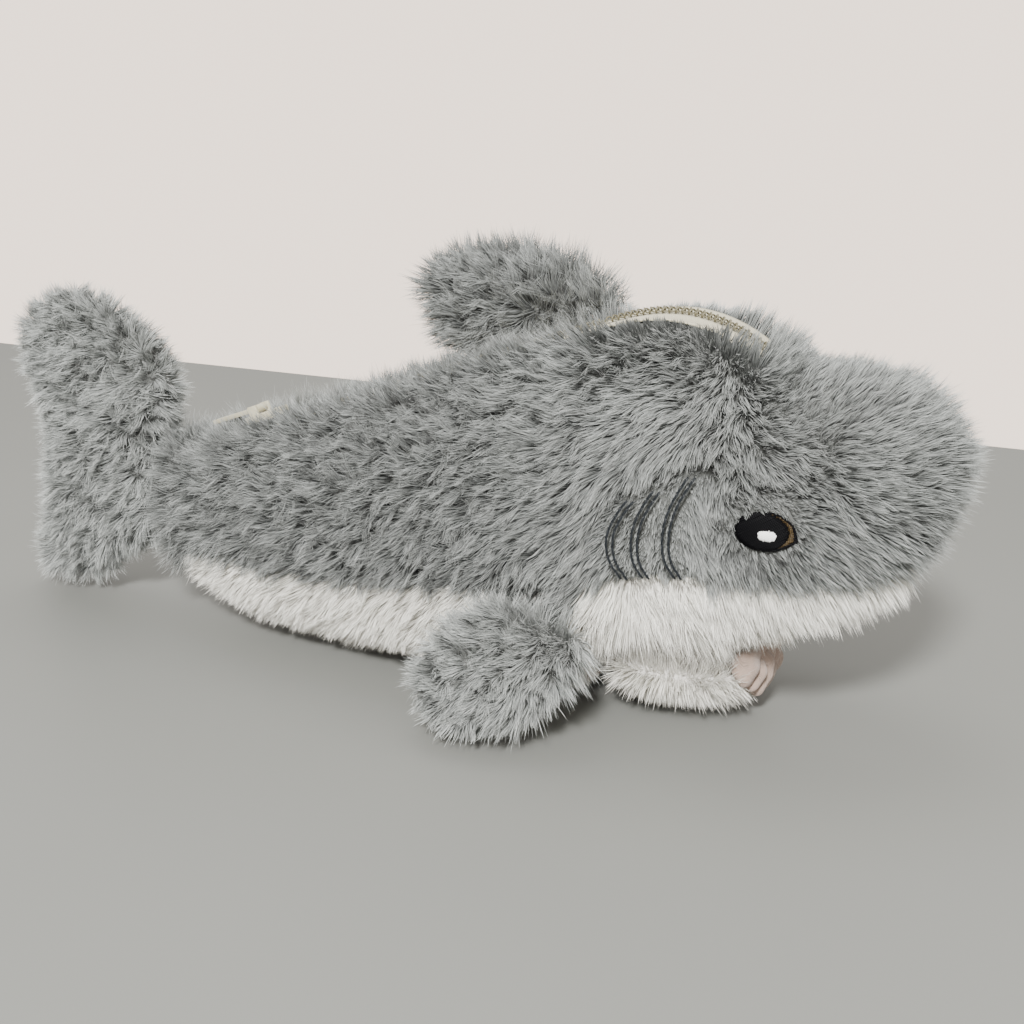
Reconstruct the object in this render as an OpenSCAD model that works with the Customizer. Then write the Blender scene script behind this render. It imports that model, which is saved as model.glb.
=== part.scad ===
// Plush shark zip pouch. Millimetres, nose towards +X, up +Z, its left side +Y, floor at Z = 0.
// Fur is drawn as part of each panel: a panel's outside is where the middle of the pile lies.

/* [Panels] */
// Thickness of a fur panel, backing and half the pile
panel_t = 3.4; // [2.6:0.1:4]
// Gap between a fur panel and the lining behind it
lining_gap = 0.5; // [0.4:0.1:0.7]
// Thickness of the lining cloth
lining_t = 0.7; // [0.5:0.1:1]
// Half the body's width at its widest
half_w = 27.5; // [24:0.5:30]

/* [Zip] */
// Half the width of the zip slot, to the sewn edge of each panel
slot_half = 8; // [7.8:0.1:9]
// Thickness of the zip tape
tape_t = 0.5; // [0.4:0.1:0.7]
// Radius of one nylon coil
coil_r = 0.65; // [0.5:0.05:0.7]
// Length of the slider
slider_l = 8; // [7:0.5:9]
// Width of the slider
slider_w = 7; // [6:0.5:8]
// Length of the pull tab
pull_l = 13; // [10:0.5:15]
// Width of the pull tab
pull_w = 4; // [3:0.5:5]

/* [Fins] */
// Half the thickness of the tail at its middle
tail_h = 7; // [5:0.5:7.5]
// Half the thickness of a side fin at its middle
fin_h = 5; // [3.5:0.5:5.5]
// Half the thickness of the back fin at its middle
dorsal_h = 4.5; // [3.5:0.5:5]

/* [Stitching] */
// Width of one row of gill stitches
stitch_w = 0.8; // [0.6:0.1:1]
// Distance between the two rows of one gill
row_gap = 1.3; // [1.2:0.1:2]
// How far the stitching stands off its panel
stitch_t = 0.5; // [0.4:0.1:0.8]

/* [Hidden] */

grey = [0.50, 0.53, 0.55];
white = [0.90, 0.89, 0.87];
skin = [0.80, 0.70, 0.65];
cream = [0.86, 0.83, 0.72];
black = [0.03, 0.03, 0.03];
brown = [0.28, 0.17, 0.07];

skin_gap = 0.03;      // between pieces of one body that lie face to face
zip_slope = 20;       // the straight stretch of the zip climbs at this angle
zip_x0 = -50;         // rear end of the straight stretch
zip_x1 = 41;          // front end of the straight stretch
zip_z1 = 82;          // height of the tape there
zip_x2 = 76;          // front end of the bent stretch
body_rear = -71.5;
slot_ramp = 4;        // the slot narrows to nothing over this length at both ends

// x, top, widest height, bottom, half width as a share of half_w
BODY = [
    [-71.5, 46,   30, 12,   0.34],
    [-66,   47.4, 30, 9,    0.42],
    [-58,   48.6, 30, 5.5,  0.54],
    [-48,   51,   30, 2,    0.66],
    [-36,   55.4, 31, -0.6, 0.77],
    [-18,   62,   33, -1.2, 0.87],
    [0,     68.6, 35, -1.2, 0.94],
    [20,    75.8, 37, -1.2, 0.985],
    [38,    82.2, 39, -1.2, 1],
    [44,    83.6, 40, -1,   1],
    [47.8,  84.8, 44, 20.6, 1],
    [52,    86,   45, 20.4, 1],
    [60,    86.4, 46, 20,   0.99],
    [68,    84.4, 47, 20,   0.97],
    [76,    80.6, 48, 20.4, 0.94],
    [84,    79.4, 49, 21.2, 0.9],
    [92,    78.9, 51, 23.4, 0.84],
    [99,    77.4, 53, 27.4, 0.76],
    [105,   74.9, 54.5, 33, 0.66],
    [110,   71.6, 56, 39.4, 0.54],
    [114,   67.8, 57, 45.6, 0.40],
    [116.6, 63.8, 57.4, 51, 0.25],
    [118,   58.6, 57.5, 56.4, 0.06]
];
// x, height of the tape along the bent stretch
BEND = [[41, 82], [47, 84], [53, 85.3], [59, 85.5], [65, 84.4], [71, 82], [76, 78.8]];
// x, height of the seam between grey and white
SEAM = [
    [-71.5, 12.4], [-66, 15], [-60, 20], [-48, 20.4], [-36, 20.2], [-16, 21.4], [9, 24.4],
    [30, 27.5], [44, 30], [52, 32.4], [60, 34.4], [70, 35.2], [84, 36], [96, 36.2],
    [105, 37], [110, 41], [114, 46.4], [118, 57]
];
// x, top, widest height, bottom, half width of the lower jaw
JAW = [
    [49.2, 17.2, 10, 3,    14],
    [51,   18,   10, 0.8,  15.6],
    [56,   17.9, 10, -0.6, 16.4],
    [63,   17,   9.4, -0.4, 16.2],
    [69.5, 15.9, 9.4, 2,   15],
    [75,   15.1, 10, 5.4,  12.6],
    [79,   14.3, 10.8, 7.4, 9.4],
    [81.6, 12.6, 11.2, 9.8, 3.6]
];
// outlines: along the root, out from the root
SIDE_FIN = [
    [-9, 0.5], [-9.4, 7], [-8, 15], [-4.5, 22.6], [1, 28.6], [6.5, 32.4], [12, 33.8], [17, 33],
    [21.6, 29.6], [24.4, 24], [24.6, 17.5], [22, 11.5], [18, 6.5], [14.5, 2.6], [12, 0.5], [2, 0.4]
];
DORSAL = [
    [25, 0.5], [22, 4.6], [13.5, 12.6], [6, 18.2], [-2, 22.6], [-11, 25.6], [-19, 26.8], [-25, 26.2],
    [-27.4, 22.6], [-26.6, 16.8], [-24, 10.2], [-21.4, 4.6], [-19, 0.5], [-8, 0.4], [3, 0.4], [14, 0.4]
];
// x, z
TAIL = [
    [-72, 30], [-72, 42], [-71.6, 50.6], [-69.6, 54], [-69.8, 63], [-77, 71.6], [-90, 79.4],
    [-101, 82.6], [-111.6, 78.6], [-118, 71.6], [-117.2, 63.5], [-112.6, 51], [-113, 39],
    [-114.4, 23], [-118, 8], [-117.4, 1.6], [-105, 1.4], [-95.4, 4.6], [-87.6, 12], [-79, 15],
    [-73.4, 20]
];
side_root = [43, -28, 27.5];
side_along = [-0.963, 0, 0.267];
side_out = [-0.234, -0.496, -0.837];
dorsal_root = [20, 11.4, 75];
dorsal_lean = 30;

// rings of a padded fin, as shares of the way to its outline
RINGS = [0.4, 0.68, 0.86, 0.955];

EYE = [83.2, 49];
GILLS = [
    [[67.9, 58.2], [64.8, 52.6], [63.4, 46.6], [63.7, 41.4], [66.1, 37.4]],
    [[61.2, 54.8], [58.4, 50], [57.1, 45], [57.3, 40.4], [59.5, 36.6]],
    [[56, 52.4], [53.4, 48.4], [52, 44.4], [52.2, 40.2], [55, 35.8]]
];

// ---- curves ----
function span(t, x, i = 0) = i >= len(t) - 2 || x <= t[i + 1][0] ? i : span(t, x, i + 1);
function slope(t, i, c) =
    let (a = max(i - 1, 0), b = min(i + 1, len(t) - 1))
    (t[b][c] - t[a][c]) / (t[b][0] - t[a][0]);
// smooth value of column c of table t at x
function at(t, x, c) =
    let (i = span(t, x), w = t[i + 1][0] - t[i][0], f = max(0, min(1, (x - t[i][0]) / w)))
    let (f2 = f * f, f3 = f2 * f)
    (2 * f3 - 3 * f2 + 1) * t[i][c] + (f3 - 2 * f2 + f) * w * slope(t, i, c)
    + (3 * f2 - 2 * f3) * t[i + 1][c] + (f3 - f2) * w * slope(t, i + 1, c);

function zip_z(x) = x <= zip_x1 ? zip_z1 + (x - zip_x1) * tan(zip_slope) : at(BEND, x, 1);

// ---- the body's surface: x, angle from the top round the right side, inset ----
function sq(v, e) = pow(abs(v), e) * sign(v);
function body_top(x) = at(BODY, x, 1);
function body_mid(x) = at(BODY, x, 2);
function body_bot(x) = at(BODY, x, 3);
function body_hw(x) = at(BODY, x, 4) * half_w;
function body_pt(x, a, inset) =
    let (
        t = body_top(x) - inset, m = body_mid(x), b = body_bot(x) + inset, w = body_hw(x) - inset,
        z = cos(a) >= 0 ? m + (t - m) * sq(cos(a), 0.92) : m - (m - b) * sq(-cos(a), 0.86)
    )
    [x, -w * sq(sin(a), 0.86), max(z, inset)];
// half width of the body at height z, outside its surface by off
function body_y(x, z, off) =
    let (
        t = body_top(x) + off, m = body_mid(x), b = body_bot(x) - off, w = body_hw(x) + off,
        c = z >= m ? pow((z - m) / (t - m), 1 / 0.92) : pow((m - z) / (m - b), 1 / 0.86)
    )
    w * pow(max(0, 1 - c * c), 0.43);
function ramp(x) = max(0, min(1, min((x - zip_x0) / slot_ramp + 1, (zip_x2 - x) / slot_ramp + 1)));
function top_a(x) = asin(pow(min(1, slot_half * ramp(x) / body_hw(x)), 1 / 0.86));
function seam_a(x) =
    let (m = body_mid(x), b = body_bot(x), c = (m - at(SEAM, x, 1)) / (m - b))
    180 - acos(pow(max(0.0001, min(0.9999, c)), 1 / 0.86));
function steps(a, b, n) = [for (i = [0:n]) a + (b - a) * i / n];

// a slab between two grids of points that have n rows of k points each
module slab(outer, inner) {
    n = len(outer);
    k = len(outer[0]);
    m = n * k;
    pts = concat([for (r = outer) each r], [for (r = inner) each r]);
    faces = concat(
        [for (i = [0:n - 2], j = [0:k - 2]) each [
            [i * k + j, i * k + j + 1, (i + 1) * k + j],
            [i * k + j + 1, (i + 1) * k + j + 1, (i + 1) * k + j],
            [m + i * k + j, m + (i + 1) * k + j, m + i * k + j + 1],
            [m + i * k + j + 1, m + (i + 1) * k + j, m + (i + 1) * k + j + 1]
        ]],
        [for (i = [0:n - 2]) each [
            [i * k, (i + 1) * k, m + i * k],
            [(i + 1) * k, m + (i + 1) * k, m + i * k],
            [i * k + k - 1, m + i * k + k - 1, (i + 1) * k + k - 1],
            [(i + 1) * k + k - 1, m + i * k + k - 1, m + (i + 1) * k + k - 1]
        ]],
        [for (j = [0:k - 2]) each [
            [j, m + j, j + 1],
            [j + 1, m + j, m + j + 1],
            [(n - 1) * k + j, (n - 1) * k + j + 1, m + (n - 1) * k + j],
            [(n - 1) * k + j + 1, m + (n - 1) * k + j + 1, m + (n - 1) * k + j]
        ]]
    );
    polyhedron(pts, faces);
}

// a closed tube of rings of points, ends closed by fans
module loft(rings) {
    n = len(rings);
    k = len(rings[0]);
    faces = concat(
        [for (i = [0:n - 2], j = [0:k - 1]) each [
            [i * k + j, (i + 1) * k + j, i * k + (j + 1) % k],
            [i * k + (j + 1) % k, (i + 1) * k + j, (i + 1) * k + (j + 1) % k]
        ]],
        [[for (j = [0:k - 1]) j], [for (j = [k - 1:-1:0]) (n - 1) * k + j]]
    );
    polyhedron([for (r = rings) each r], faces);
}

// ---- body panels ----
XS_REAR = [-66, -60, -54, -50, -46];
XS_BELLY = steps(-40, 38, 13);
XS_THROAT = [42, 44, 46, 48];
XS_MOUTH = [52, 57, 62, 67, 72];
XS_FLANK = concat([body_rear], XS_REAR, XS_BELLY, XS_THROAT, XS_MOUTH,
    [76, 80, 84, 88, 92, 97, 102, 106, 110, 113, 115.4, 117, 117.95]);
module flank(side) {
    rows = 8;
    mirror([0, side > 0 ? 1 : 0, 0]) slab(
        [for (x = XS_FLANK) [for (f = steps(0, 1, rows))
            body_pt(x, top_edge(x) + (seam_edge(x) - top_edge(x)) * f, 0)]],
        [for (x = XS_FLANK) [for (f = steps(0, 1, rows))
            body_pt(x, top_edge(x) + (seam_edge(x) - top_edge(x)) * f, panel_in(x))]]
    );
}
function panel_in(x) = min(panel_t, 0.8 * min(body_hw(x), (body_top(x) - body_bot(x)) / 2));
function top_edge(x) = max(top_a(x), 0.12);
function seam_edge(x) = seam_a(x) - 0.1;
function low_row(x, f, inset) =
    let (a = seam_a(x) + 0.1) body_pt(x, a + (360 - 2 * a) * f, inset);

module belly() {
    xs = concat([-70], XS_REAR, XS_BELLY, [42, 44]);
    slab(
        [for (x = xs) [for (f = steps(0, 1, 10)) low_row(x, f, 0)]],
        [for (x = xs) [for (f = steps(0, 1, 10)) low_row(x, f, panel_in(x))]]
    );
}
module snout() {
    xs = concat([44.1, 46, 48], XS_MOUTH, [76, 80, 84, 88, 92, 97, 102, 106, 109]);
    slab(
        [for (x = xs) [for (f = steps(0, 1, 10)) low_row(x, f, 0)]],
        [for (x = xs) [for (f = steps(0, 1, 10)) low_row(x, f, panel_in(x))]]
    );
}

// ---- the inner bag, closed at both ends and open along the zip ----
bag_rear = -46;
bag_front = 74;
function bag_row(x, inset, share) =
    let (
        a = asin(pow(min(1, (slot_half + 1.2) / body_hw(x)), 1 / 0.86)) + 4,
        mid = (body_top(x) + body_bot(x)) / 2
    )
    [for (f = steps(0, 1, 14))
        let (p = body_pt(x, a + (360 - 2 * a) * f, inset))
        [x, p[1] * share, mid + (p[2] - mid) * share]];
module pouch_bag() {
    deep = panel_t + lining_gap;
    xs = concat([bag_rear], XS_BELLY, XS_THROAT, XS_MOUTH, [bag_front]);
    slab(
        concat([bag_row(bag_rear, deep, 0.08)], [for (x = xs) bag_row(x, deep, 1)],
            [bag_row(bag_front, deep, 0.08)]),
        concat([bag_row(bag_rear + lining_t, deep + lining_t, 0.06)],
            [for (x = xs) bag_row(max(bag_rear + lining_t, min(bag_front - lining_t, x)),
                deep + lining_t, 1)],
            [bag_row(bag_front - lining_t, deep + lining_t, 0.06)])
    );
}

module stuffing_loft(t, xs, inset) {
    loft([for (x = xs) [for (a = [0:22.5:337.5])
        let (top = at(t, x, 1) - inset, m = at(t, x, 2), b = at(t, x, 3) + inset,
             w = at(t, x, 4) * (t == BODY ? half_w : 1) - inset)
        [x, w * sq(sin(a), 0.86),
            cos(a) >= 0 ? m + (top - m) * sq(cos(a), 0.92) : m - (m - b) * sq(-cos(a), 0.86)]]]);
}

// ---- lower jaw ----
jaw_split = 62;
function jaw_pt(x, a, inset) =
    let (
        i = min(inset, 0.7 * min(at(JAW, x, 4), (at(JAW, x, 1) - at(JAW, x, 3)) / 2)),
        t = at(JAW, x, 1) - i, m = at(JAW, x, 2), b = at(JAW, x, 3) + i, w = at(JAW, x, 4) - i,
        z = cos(a) >= 0 ? m + (t - m) * sq(cos(a), 0.8) : m - (m - b) * sq(-cos(a), 0.8)
    )
    [x, -w * sq(sin(a), 0.8), max(z, i)];
XS_JAW = [49.2, 51, 54, 58, 62, 66, 70, 73.5, 76, 78.2, 80, 81];
module jaw_slab(a0, a1, from, to) {
    slab(
        [for (x = XS_JAW) [for (a = steps(a0, a1, 10)) jaw_pt(x, a, from)]],
        [for (x = XS_JAW) [for (a = steps(a0, a1, 10)) jaw_pt(x, a, to)]]
    );
}

// ---- zip ----
// side -1 is right, +1 is left; the frame's X runs up the straight stretch, Z out of the tape
module on_zip(x) {
    translate([x, 0, zip_z(x)]) rotate([0, -zip_slope, 0]) children();
}
edge_gap = 0.7;
mid_gap = 0.2;
straight_l = (zip_x1 - zip_x0) / cos(zip_slope);
tape_w = slot_half - edge_gap - mid_gap;
lip_end_gap = 0.4;
module straight_tape(side) {
    on_zip(zip_x0) translate([lip_end_gap, side > 0 ? mid_gap : -mid_gap - tape_w, -tape_t])
        cube([straight_l - 2 * lip_end_gap, tape_w, tape_t]);
}
module straight_coil(side) {
    on_zip(zip_x0) translate([lip_end_gap, side * (mid_gap + coil_r + 0.05), coil_r + skin_gap])
        rotate([0, 90, 0]) cylinder(r = coil_r, h = straight_l - 2 * lip_end_gap, $fn = 32);
}
XS_BEND = steps(zip_x1 + 0.1, zip_x2 - 0.4, 12);
module bent_tape(side) {
    w = slot_half - edge_gap;
    function across(x) = side < 0 ? [mid_gap, edge(x)] : [-edge(x), -mid_gap];
    function edge(x) = max(2.4, w * ramp(x));
    slab(
        [for (x = XS_BEND) [for (y = across(x)) [x, -y, zip_z(x)]]],
        [for (x = XS_BEND) [for (y = across(x)) [x, -y, zip_z(x) - tape_t]]]
    );
}
module bent_coil(side) {
    loft([for (x = XS_BEND)
        let (t = atan((zip_z(x + 0.3) - zip_z(x - 0.3)) / 0.6))
        [for (a = [0:45:315])
            [x - sin(t) * (coil_r + 0.1 + coil_r * sin(a)),
             side * (mid_gap + coil_r + 0.05) + coil_r * cos(a),
             zip_z(x) + 0.12 + cos(t) * (coil_r + coil_r * sin(a))]]]);
}

slider_x = -44;
slider_lift = 2 * coil_r + 0.35;
slider_h = 1.8;
tab_t = 1;
pivot_x = -1.5;
pivot_z = slider_lift + slider_h + 1.15;
module slider() {
    on_zip(slider_x) {
        translate([-slider_l / 2, -slider_w / 2, slider_lift]) cube([slider_l, slider_w, slider_h]);
        for (s = [-1, 1])
            translate([pivot_x - 1.2, s > 0 ? pull_w / 2 + 0.3 : -pull_w / 2 - 1.1,
                slider_lift + slider_h])
                cube([2.4, 0.8, 2.2]);
        translate([pivot_x, -pull_w / 2 - 0.5, pivot_z]) rotate([-90, 0, 0])
            cylinder(r = 0.5, h = pull_w + 1, $fn = 24);
    }
}
module pull() {
    on_zip(slider_x) translate([pivot_x, 0, pivot_z]) difference() {
        union() {
            translate([0, -pull_w / 2, 0]) rotate([-90, 0, 0])
                cylinder(r = 1, h = pull_w, $fn = 24);
            translate([-pull_l, -pull_w / 2, -tab_t / 2]) cube([pull_l, pull_w, tab_t]);
        }
        translate([0, -pull_w / 2 - 1, 0]) rotate([-90, 0, 0])
            cylinder(r = 0.6, h = pull_w + 2, $fn = 24);
    }
}
stop_h = 1.4;
module zip_stop(x, lift) {
    on_zip(x) translate([-0.9, -2.4, lift]) cube([1.8, 4.8, stop_h]);
}

// ---- padded fins: a ring of points at each share of the way from c to the outline ----
function ring(o, c, r, h, taper) = [for (p = o)
    let (q = c + (p - c) * r) [q[0], q[1], h * sqrt(1 - r * r) * taper * min(1, 0.3 + q[1] / 14)]];
function flat_ring(o, c, r, h) = [for (p = o) let (q = c + (p - c) * r)
    [q[0], q[1], h * sqrt(1 - r * r)]];
function rings_of(o, c, h, rooted) = [for (r = RINGS)
    rooted ? ring(o, c, r, h, 1) : flat_ring(o, c, r, h)];

// the cloth on one face of a fin: outside rings at h, inside rings at h - t, both meet at the rim
module fin_cloth(o, c, h, t, rooted, up) {
    k = len(o);
    n = len(RINGS);
    a = rings_of(o, c, h, rooted);
    b = rings_of(o, c, h - t, rooted);
    top_c = [c[0], c[1], h];
    low_c = [c[0], c[1], h - t];
    rim = [for (p = o) [p[0], p[1], 0]];
    lift = up ? [0, 0, skin_gap] : [0, 0, -skin_gap];
    raw = concat([for (r = a) each r], rim, [for (r = b) each r],
        [for (p = o) let (q = c + (p - c) * 0.985) [q[0], q[1], 0]], [top_c, low_c]);
    pts = [for (p = raw) [p[0], p[1], up ? p[2] : -p[2]] + lift];
    m = (n + 1) * k;
    ct = 2 * m;
    cl = ct + 1;
    faces = concat(
        [for (i = [0:n - 1], j = [0:k - 1]) each [
            [i * k + j, i * k + (j + 1) % k, (i + 1) * k + j],
            [i * k + (j + 1) % k, (i + 1) * k + (j + 1) % k, (i + 1) * k + j],
            [m + i * k + j, m + (i + 1) * k + j, m + i * k + (j + 1) % k],
            [m + i * k + (j + 1) % k, m + (i + 1) * k + j, m + (i + 1) * k + (j + 1) % k]
        ]],
        [for (j = [0:k - 1]) each [
            [ct, (j + 1) % k, j],
            [cl, m + j, m + (j + 1) % k],
            [n * k + j, n * k + (j + 1) % k, m + n * k + j],
            [n * k + (j + 1) % k, m + n * k + (j + 1) % k, m + n * k + j]
        ]]
    );
    polyhedron(pts, up ? faces : [for (f = faces) [f[0], f[2], f[1]]]);
}
// the filling between the two cloths
module fin_filling(o, c, h, rooted) {
    k = len(o);
    n = len(RINGS);
    a = rings_of(o, c, h, rooted);
    rim = [for (p = o) let (q = c + (p - c) * 0.975) [q[0], q[1], 0]];
    low = [for (r = a) [for (p = r) [p[0], p[1], -p[2]]]];
    pts = concat([for (r = a) each r], rim, [for (i = [n - 1:-1:0]) each low[i]],
        [[c[0], c[1], h], [c[0], c[1], -h]]);
    rows = 2 * n + 1;
    faces = concat(
        [for (i = [0:rows - 2], j = [0:k - 1]) each [
            [i * k + j, i * k + (j + 1) % k, (i + 1) * k + j],
            [i * k + (j + 1) % k, (i + 1) * k + (j + 1) % k, (i + 1) * k + j]
        ]],
        [for (j = [0:k - 1]) each [
            [rows * k, (j + 1) % k, j],
            [rows * k + 1, (rows - 1) * k + j, (rows - 1) * k + (j + 1) % k]
        ]]
    );
    polyhedron(pts, faces);
}
fin_cloth_t = 1.6;
fill_gap = 0.1;

// frames of the fins
module frame_of(o, x, y) {
    z = cross(x, y);
    multmatrix([
        [x[0], y[0], z[0], o[0]], [x[1], y[1], z[1], o[1]], [x[2], y[2], z[2], o[2]], [0, 0, 0, 1]
    ]) children();
}
dorsal_along = [cos(zip_slope), 0, sin(zip_slope)];
dorsal_up = [-sin(zip_slope) * cos(dorsal_lean), sin(dorsal_lean),
    cos(zip_slope) * cos(dorsal_lean)];
module on_dorsal() { frame_of(dorsal_root, dorsal_along, dorsal_up) children(); }
module on_side(side) {
    mirror([0, side > 0 ? 1 : 0, 0]) frame_of(side_root, side_along, side_out) children();
}
module on_tail() { rotate([90, 0, 0]) children(); }
side_c = [8, 18];
dorsal_c = [-6, 10.5];
tail_c = [-94, 44];

// ---- stitching on the flanks ----
function on_flank(x, z, off) = [x, -body_y(x, z, off), z];
module patch(c, outline, from, to, side) {
    k = len(outline);
    ringp = [for (off = [from, to]) each concat(
        [for (p = outline) on_flank(c[0] + p[0] * 0.5, c[1] + p[1] * 0.5, off)],
        [for (p = outline) on_flank(c[0] + p[0], c[1] + p[1], off)],
        [on_flank(c[0], c[1], off)])];
    m = 2 * k + 1;
    faces = concat(
        [for (j = [0:k - 1]) let (n = (j + 1) % k) each [
            [2 * k, n, j], [m + 2 * k, m + j, m + n],
            [j, n, k + j], [n, k + n, k + j],
            [m + j, m + k + j, m + n], [m + n, m + k + j, m + k + n],
            [k + j, k + n, m + k + j], [k + n, m + k + n, m + k + j]
        ]]
    );
    mirror([0, side > 0 ? 1 : 0, 0]) polyhedron(ringp, [for (f = faces) [f[0], f[2], f[1]]]);
}
function oval(rx, rz, n, tilt = 0) = [for (i = [0:n - 1])
    let (a = 360 * i / n, p = [rx * cos(a), rz * sin(a)])
    [p[0] * cos(tilt) - p[1] * sin(tilt), p[0] * sin(tilt) + p[1] * cos(tilt)]];
module eye_rim(side) {
    o = concat([for (p = oval(5.3, 3.9, 24)) p[0] > 3.2 && p[1] < 0 ? [p[0] + 0.6, p[1] - 0.4] : p]);
    patch(EYE, o, 0.05, 0.5, side);
}
module eye_pupil(side) { patch(EYE + [-0.7, 0.1], oval(4.5, 3.3, 24), 0.55, 0.85, side); }
module eye_glint(side) { patch(EYE + [0.5, -0.6], oval(1.7, 1, 12, 12), 0.9, 1.15, side); }

module gill(i, side) {
    line = GILLS[i];
    n = 8;
    zs = steps(line[0][1], line[len(line) - 1][1], n);
    back = [for (p = line) [-p[1], p[0]]];
    mirror([0, side > 0 ? 1 : 0, 0]) for (row = [0, 1])
        slab(
            [for (z = zs) let (x = at(back, -z, 1) + row * row_gap)
                [for (w = [-0.5, 0.5]) on_flank(x + w * stitch_w, z, 0.05 + stitch_t)]],
            [for (z = zs) let (x = at(back, -z, 1) + row * row_gap)
                [for (w = [-0.5, 0.5]) on_flank(x + w * stitch_w, z, 0.05)]]
        );
}

// ---- nodes ----
module flank_right() { color(grey) flank(-1); }
module flank_left() { color(grey) flank(1); }
module belly_panel() { color(white) belly(); }
module snout_panel() { color(white) snout(); }
module pouch_lining() { color(skin) pouch_bag(); }
module head_stuffing() {
    color(white) stuffing_loft(BODY, [76, 82, 88, 94, 100, 105, 109, 112], panel_t + 0.6);
}
module rear_stuffing() {
    color(white) stuffing_loft(BODY, [-71.3, -66, -60, -54, -49], panel_t + 0.6);
}
module mouth_lining_upper() {
    color(skin) slab(
        [for (x = XS_MOUTH) [for (f = steps(0.2, 0.8, 6)) low_row(x, f, -0.8)]],
        [for (x = XS_MOUTH) [for (f = steps(0.2, 0.8, 6)) low_row(x, f, -0.1)]]
    );
}
module jaw_panel() { color(white) jaw_slab(jaw_split, 360 - jaw_split, 0, 2.6); }
module mouth_lining_lower() { color(skin) jaw_slab(-jaw_split + 1, jaw_split - 1, 0, 0.9); }
module jaw_stuffing() {
    color(white) stuffing_loft(JAW, [53, 58, 63, 67, 71, 74.5], 3.2);
}
module zip_front_tape_right() { color(cream) bent_tape(-1); }
module zip_front_tape_left() { color(cream) bent_tape(1); }
module zip_front_coil_right() { color(cream) bent_coil(-1); }
module zip_front_coil_left() { color(cream) bent_coil(1); }
module zip_front_stop() { color(cream) zip_stop(zip_x2 + 0.8, -tape_t); }
module zip_rear_stop() { color(cream) zip_stop(zip_x0 - 0.7, -tape_t); }
module zip_tape_right() { color(cream) straight_tape(-1); }
module zip_coil_right() { color(cream) straight_coil(-1); }
module zip_tape_left() { color(cream) straight_tape(1); }
module zip_coil_left() { color(cream) straight_coil(1); }
module zip_slider() { color(cream) slider(); }
module zip_pull() { color(cream) pull(); }
module dorsal_panel_right() {
    color(grey) on_dorsal() fin_cloth(DORSAL, dorsal_c, dorsal_h, fin_cloth_t, true, false);
}
module dorsal_panel_left() {
    color(grey) on_dorsal() fin_cloth(DORSAL, dorsal_c, dorsal_h, fin_cloth_t, true, true);
}
module dorsal_stuffing() {
    color(white) on_dorsal() fin_filling(DORSAL, dorsal_c, dorsal_h - fin_cloth_t - fill_gap, true);
}
module side_fin_top(side) {
    color(grey) on_side(side) fin_cloth(SIDE_FIN, side_c, fin_h, fin_cloth_t, true, true);
}
module side_fin_bottom(side) {
    color(grey) on_side(side) fin_cloth(SIDE_FIN, side_c, fin_h, fin_cloth_t, true, false);
}
module side_fin_stuffing(side) {
    color(white) on_side(side)
        fin_filling(SIDE_FIN, side_c, fin_h - fin_cloth_t - fill_gap, true);
}
module side_fin_right_top() { side_fin_top(-1); }
module side_fin_right_bottom() { side_fin_bottom(-1); }
module side_fin_right_stuffing() { side_fin_stuffing(-1); }
module side_fin_left_top() { side_fin_top(1); }
module side_fin_left_bottom() { side_fin_bottom(1); }
module side_fin_left_stuffing() { side_fin_stuffing(1); }
module tail_panel_right() {
    color(grey) on_tail() fin_cloth(TAIL, tail_c, tail_h, fin_cloth_t + 0.6, false, true);
}
module tail_panel_left() {
    color(grey) on_tail() fin_cloth(TAIL, tail_c, tail_h, fin_cloth_t + 0.6, false, false);
}
module tail_stuffing() {
    color(white) on_tail() fin_filling(TAIL, tail_c, tail_h - fin_cloth_t - 0.6 - fill_gap, false);
}
module eye_right_rim() { color(brown) eye_rim(-1); }
module eye_right_pupil() { color(black) eye_pupil(-1); }
module eye_right_glint() { color(white) eye_glint(-1); }
module eye_left_rim() { color(brown) eye_rim(1); }
module eye_left_pupil() { color(black) eye_pupil(1); }
module eye_left_glint() { color(white) eye_glint(1); }
module gill_right_front() { color(black) gill(0, -1); }
module gill_right_middle() { color(black) gill(1, -1); }
module gill_right_rear() { color(black) gill(2, -1); }
module gill_left_front() { color(black) gill(0, 1); }
module gill_left_middle() { color(black) gill(1, 1); }
module gill_left_rear() { color(black) gill(2, 1); }

flank_right();
flank_left();
belly_panel();
snout_panel();
pouch_lining();
head_stuffing();
rear_stuffing();
mouth_lining_upper();
jaw_panel();
mouth_lining_lower();
jaw_stuffing();
zip_front_tape_right();
zip_front_tape_left();
zip_front_coil_right();
zip_front_coil_left();
zip_front_stop();
zip_rear_stop();
zip_tape_right();
zip_coil_right();
zip_tape_left();
zip_coil_left();
zip_slider();
zip_pull();
dorsal_panel_right();
dorsal_panel_left();
dorsal_stuffing();
side_fin_right_top();
side_fin_right_bottom();
side_fin_right_stuffing();
side_fin_left_top();
side_fin_left_bottom();
side_fin_left_stuffing();
tail_panel_right();
tail_panel_left();
tail_stuffing();
eye_right_rim();
eye_right_pupil();
eye_right_glint();
eye_left_rim();
eye_left_pupil();
eye_left_glint();
gill_right_front();
gill_right_middle();
gill_right_rear();
gill_left_front();
gill_left_middle();
gill_left_rear();
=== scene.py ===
"""Plush shark zip pouch: padded skins, combed pile, zip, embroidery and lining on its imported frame."""

import logging
import math
from collections.abc import Callable, Sequence
from dataclasses import dataclass, field
from enum import Enum

import bmesh
import bpy
import numpy as np
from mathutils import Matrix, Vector, kdtree
from mathutils.bvhtree import BVHTree


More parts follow.
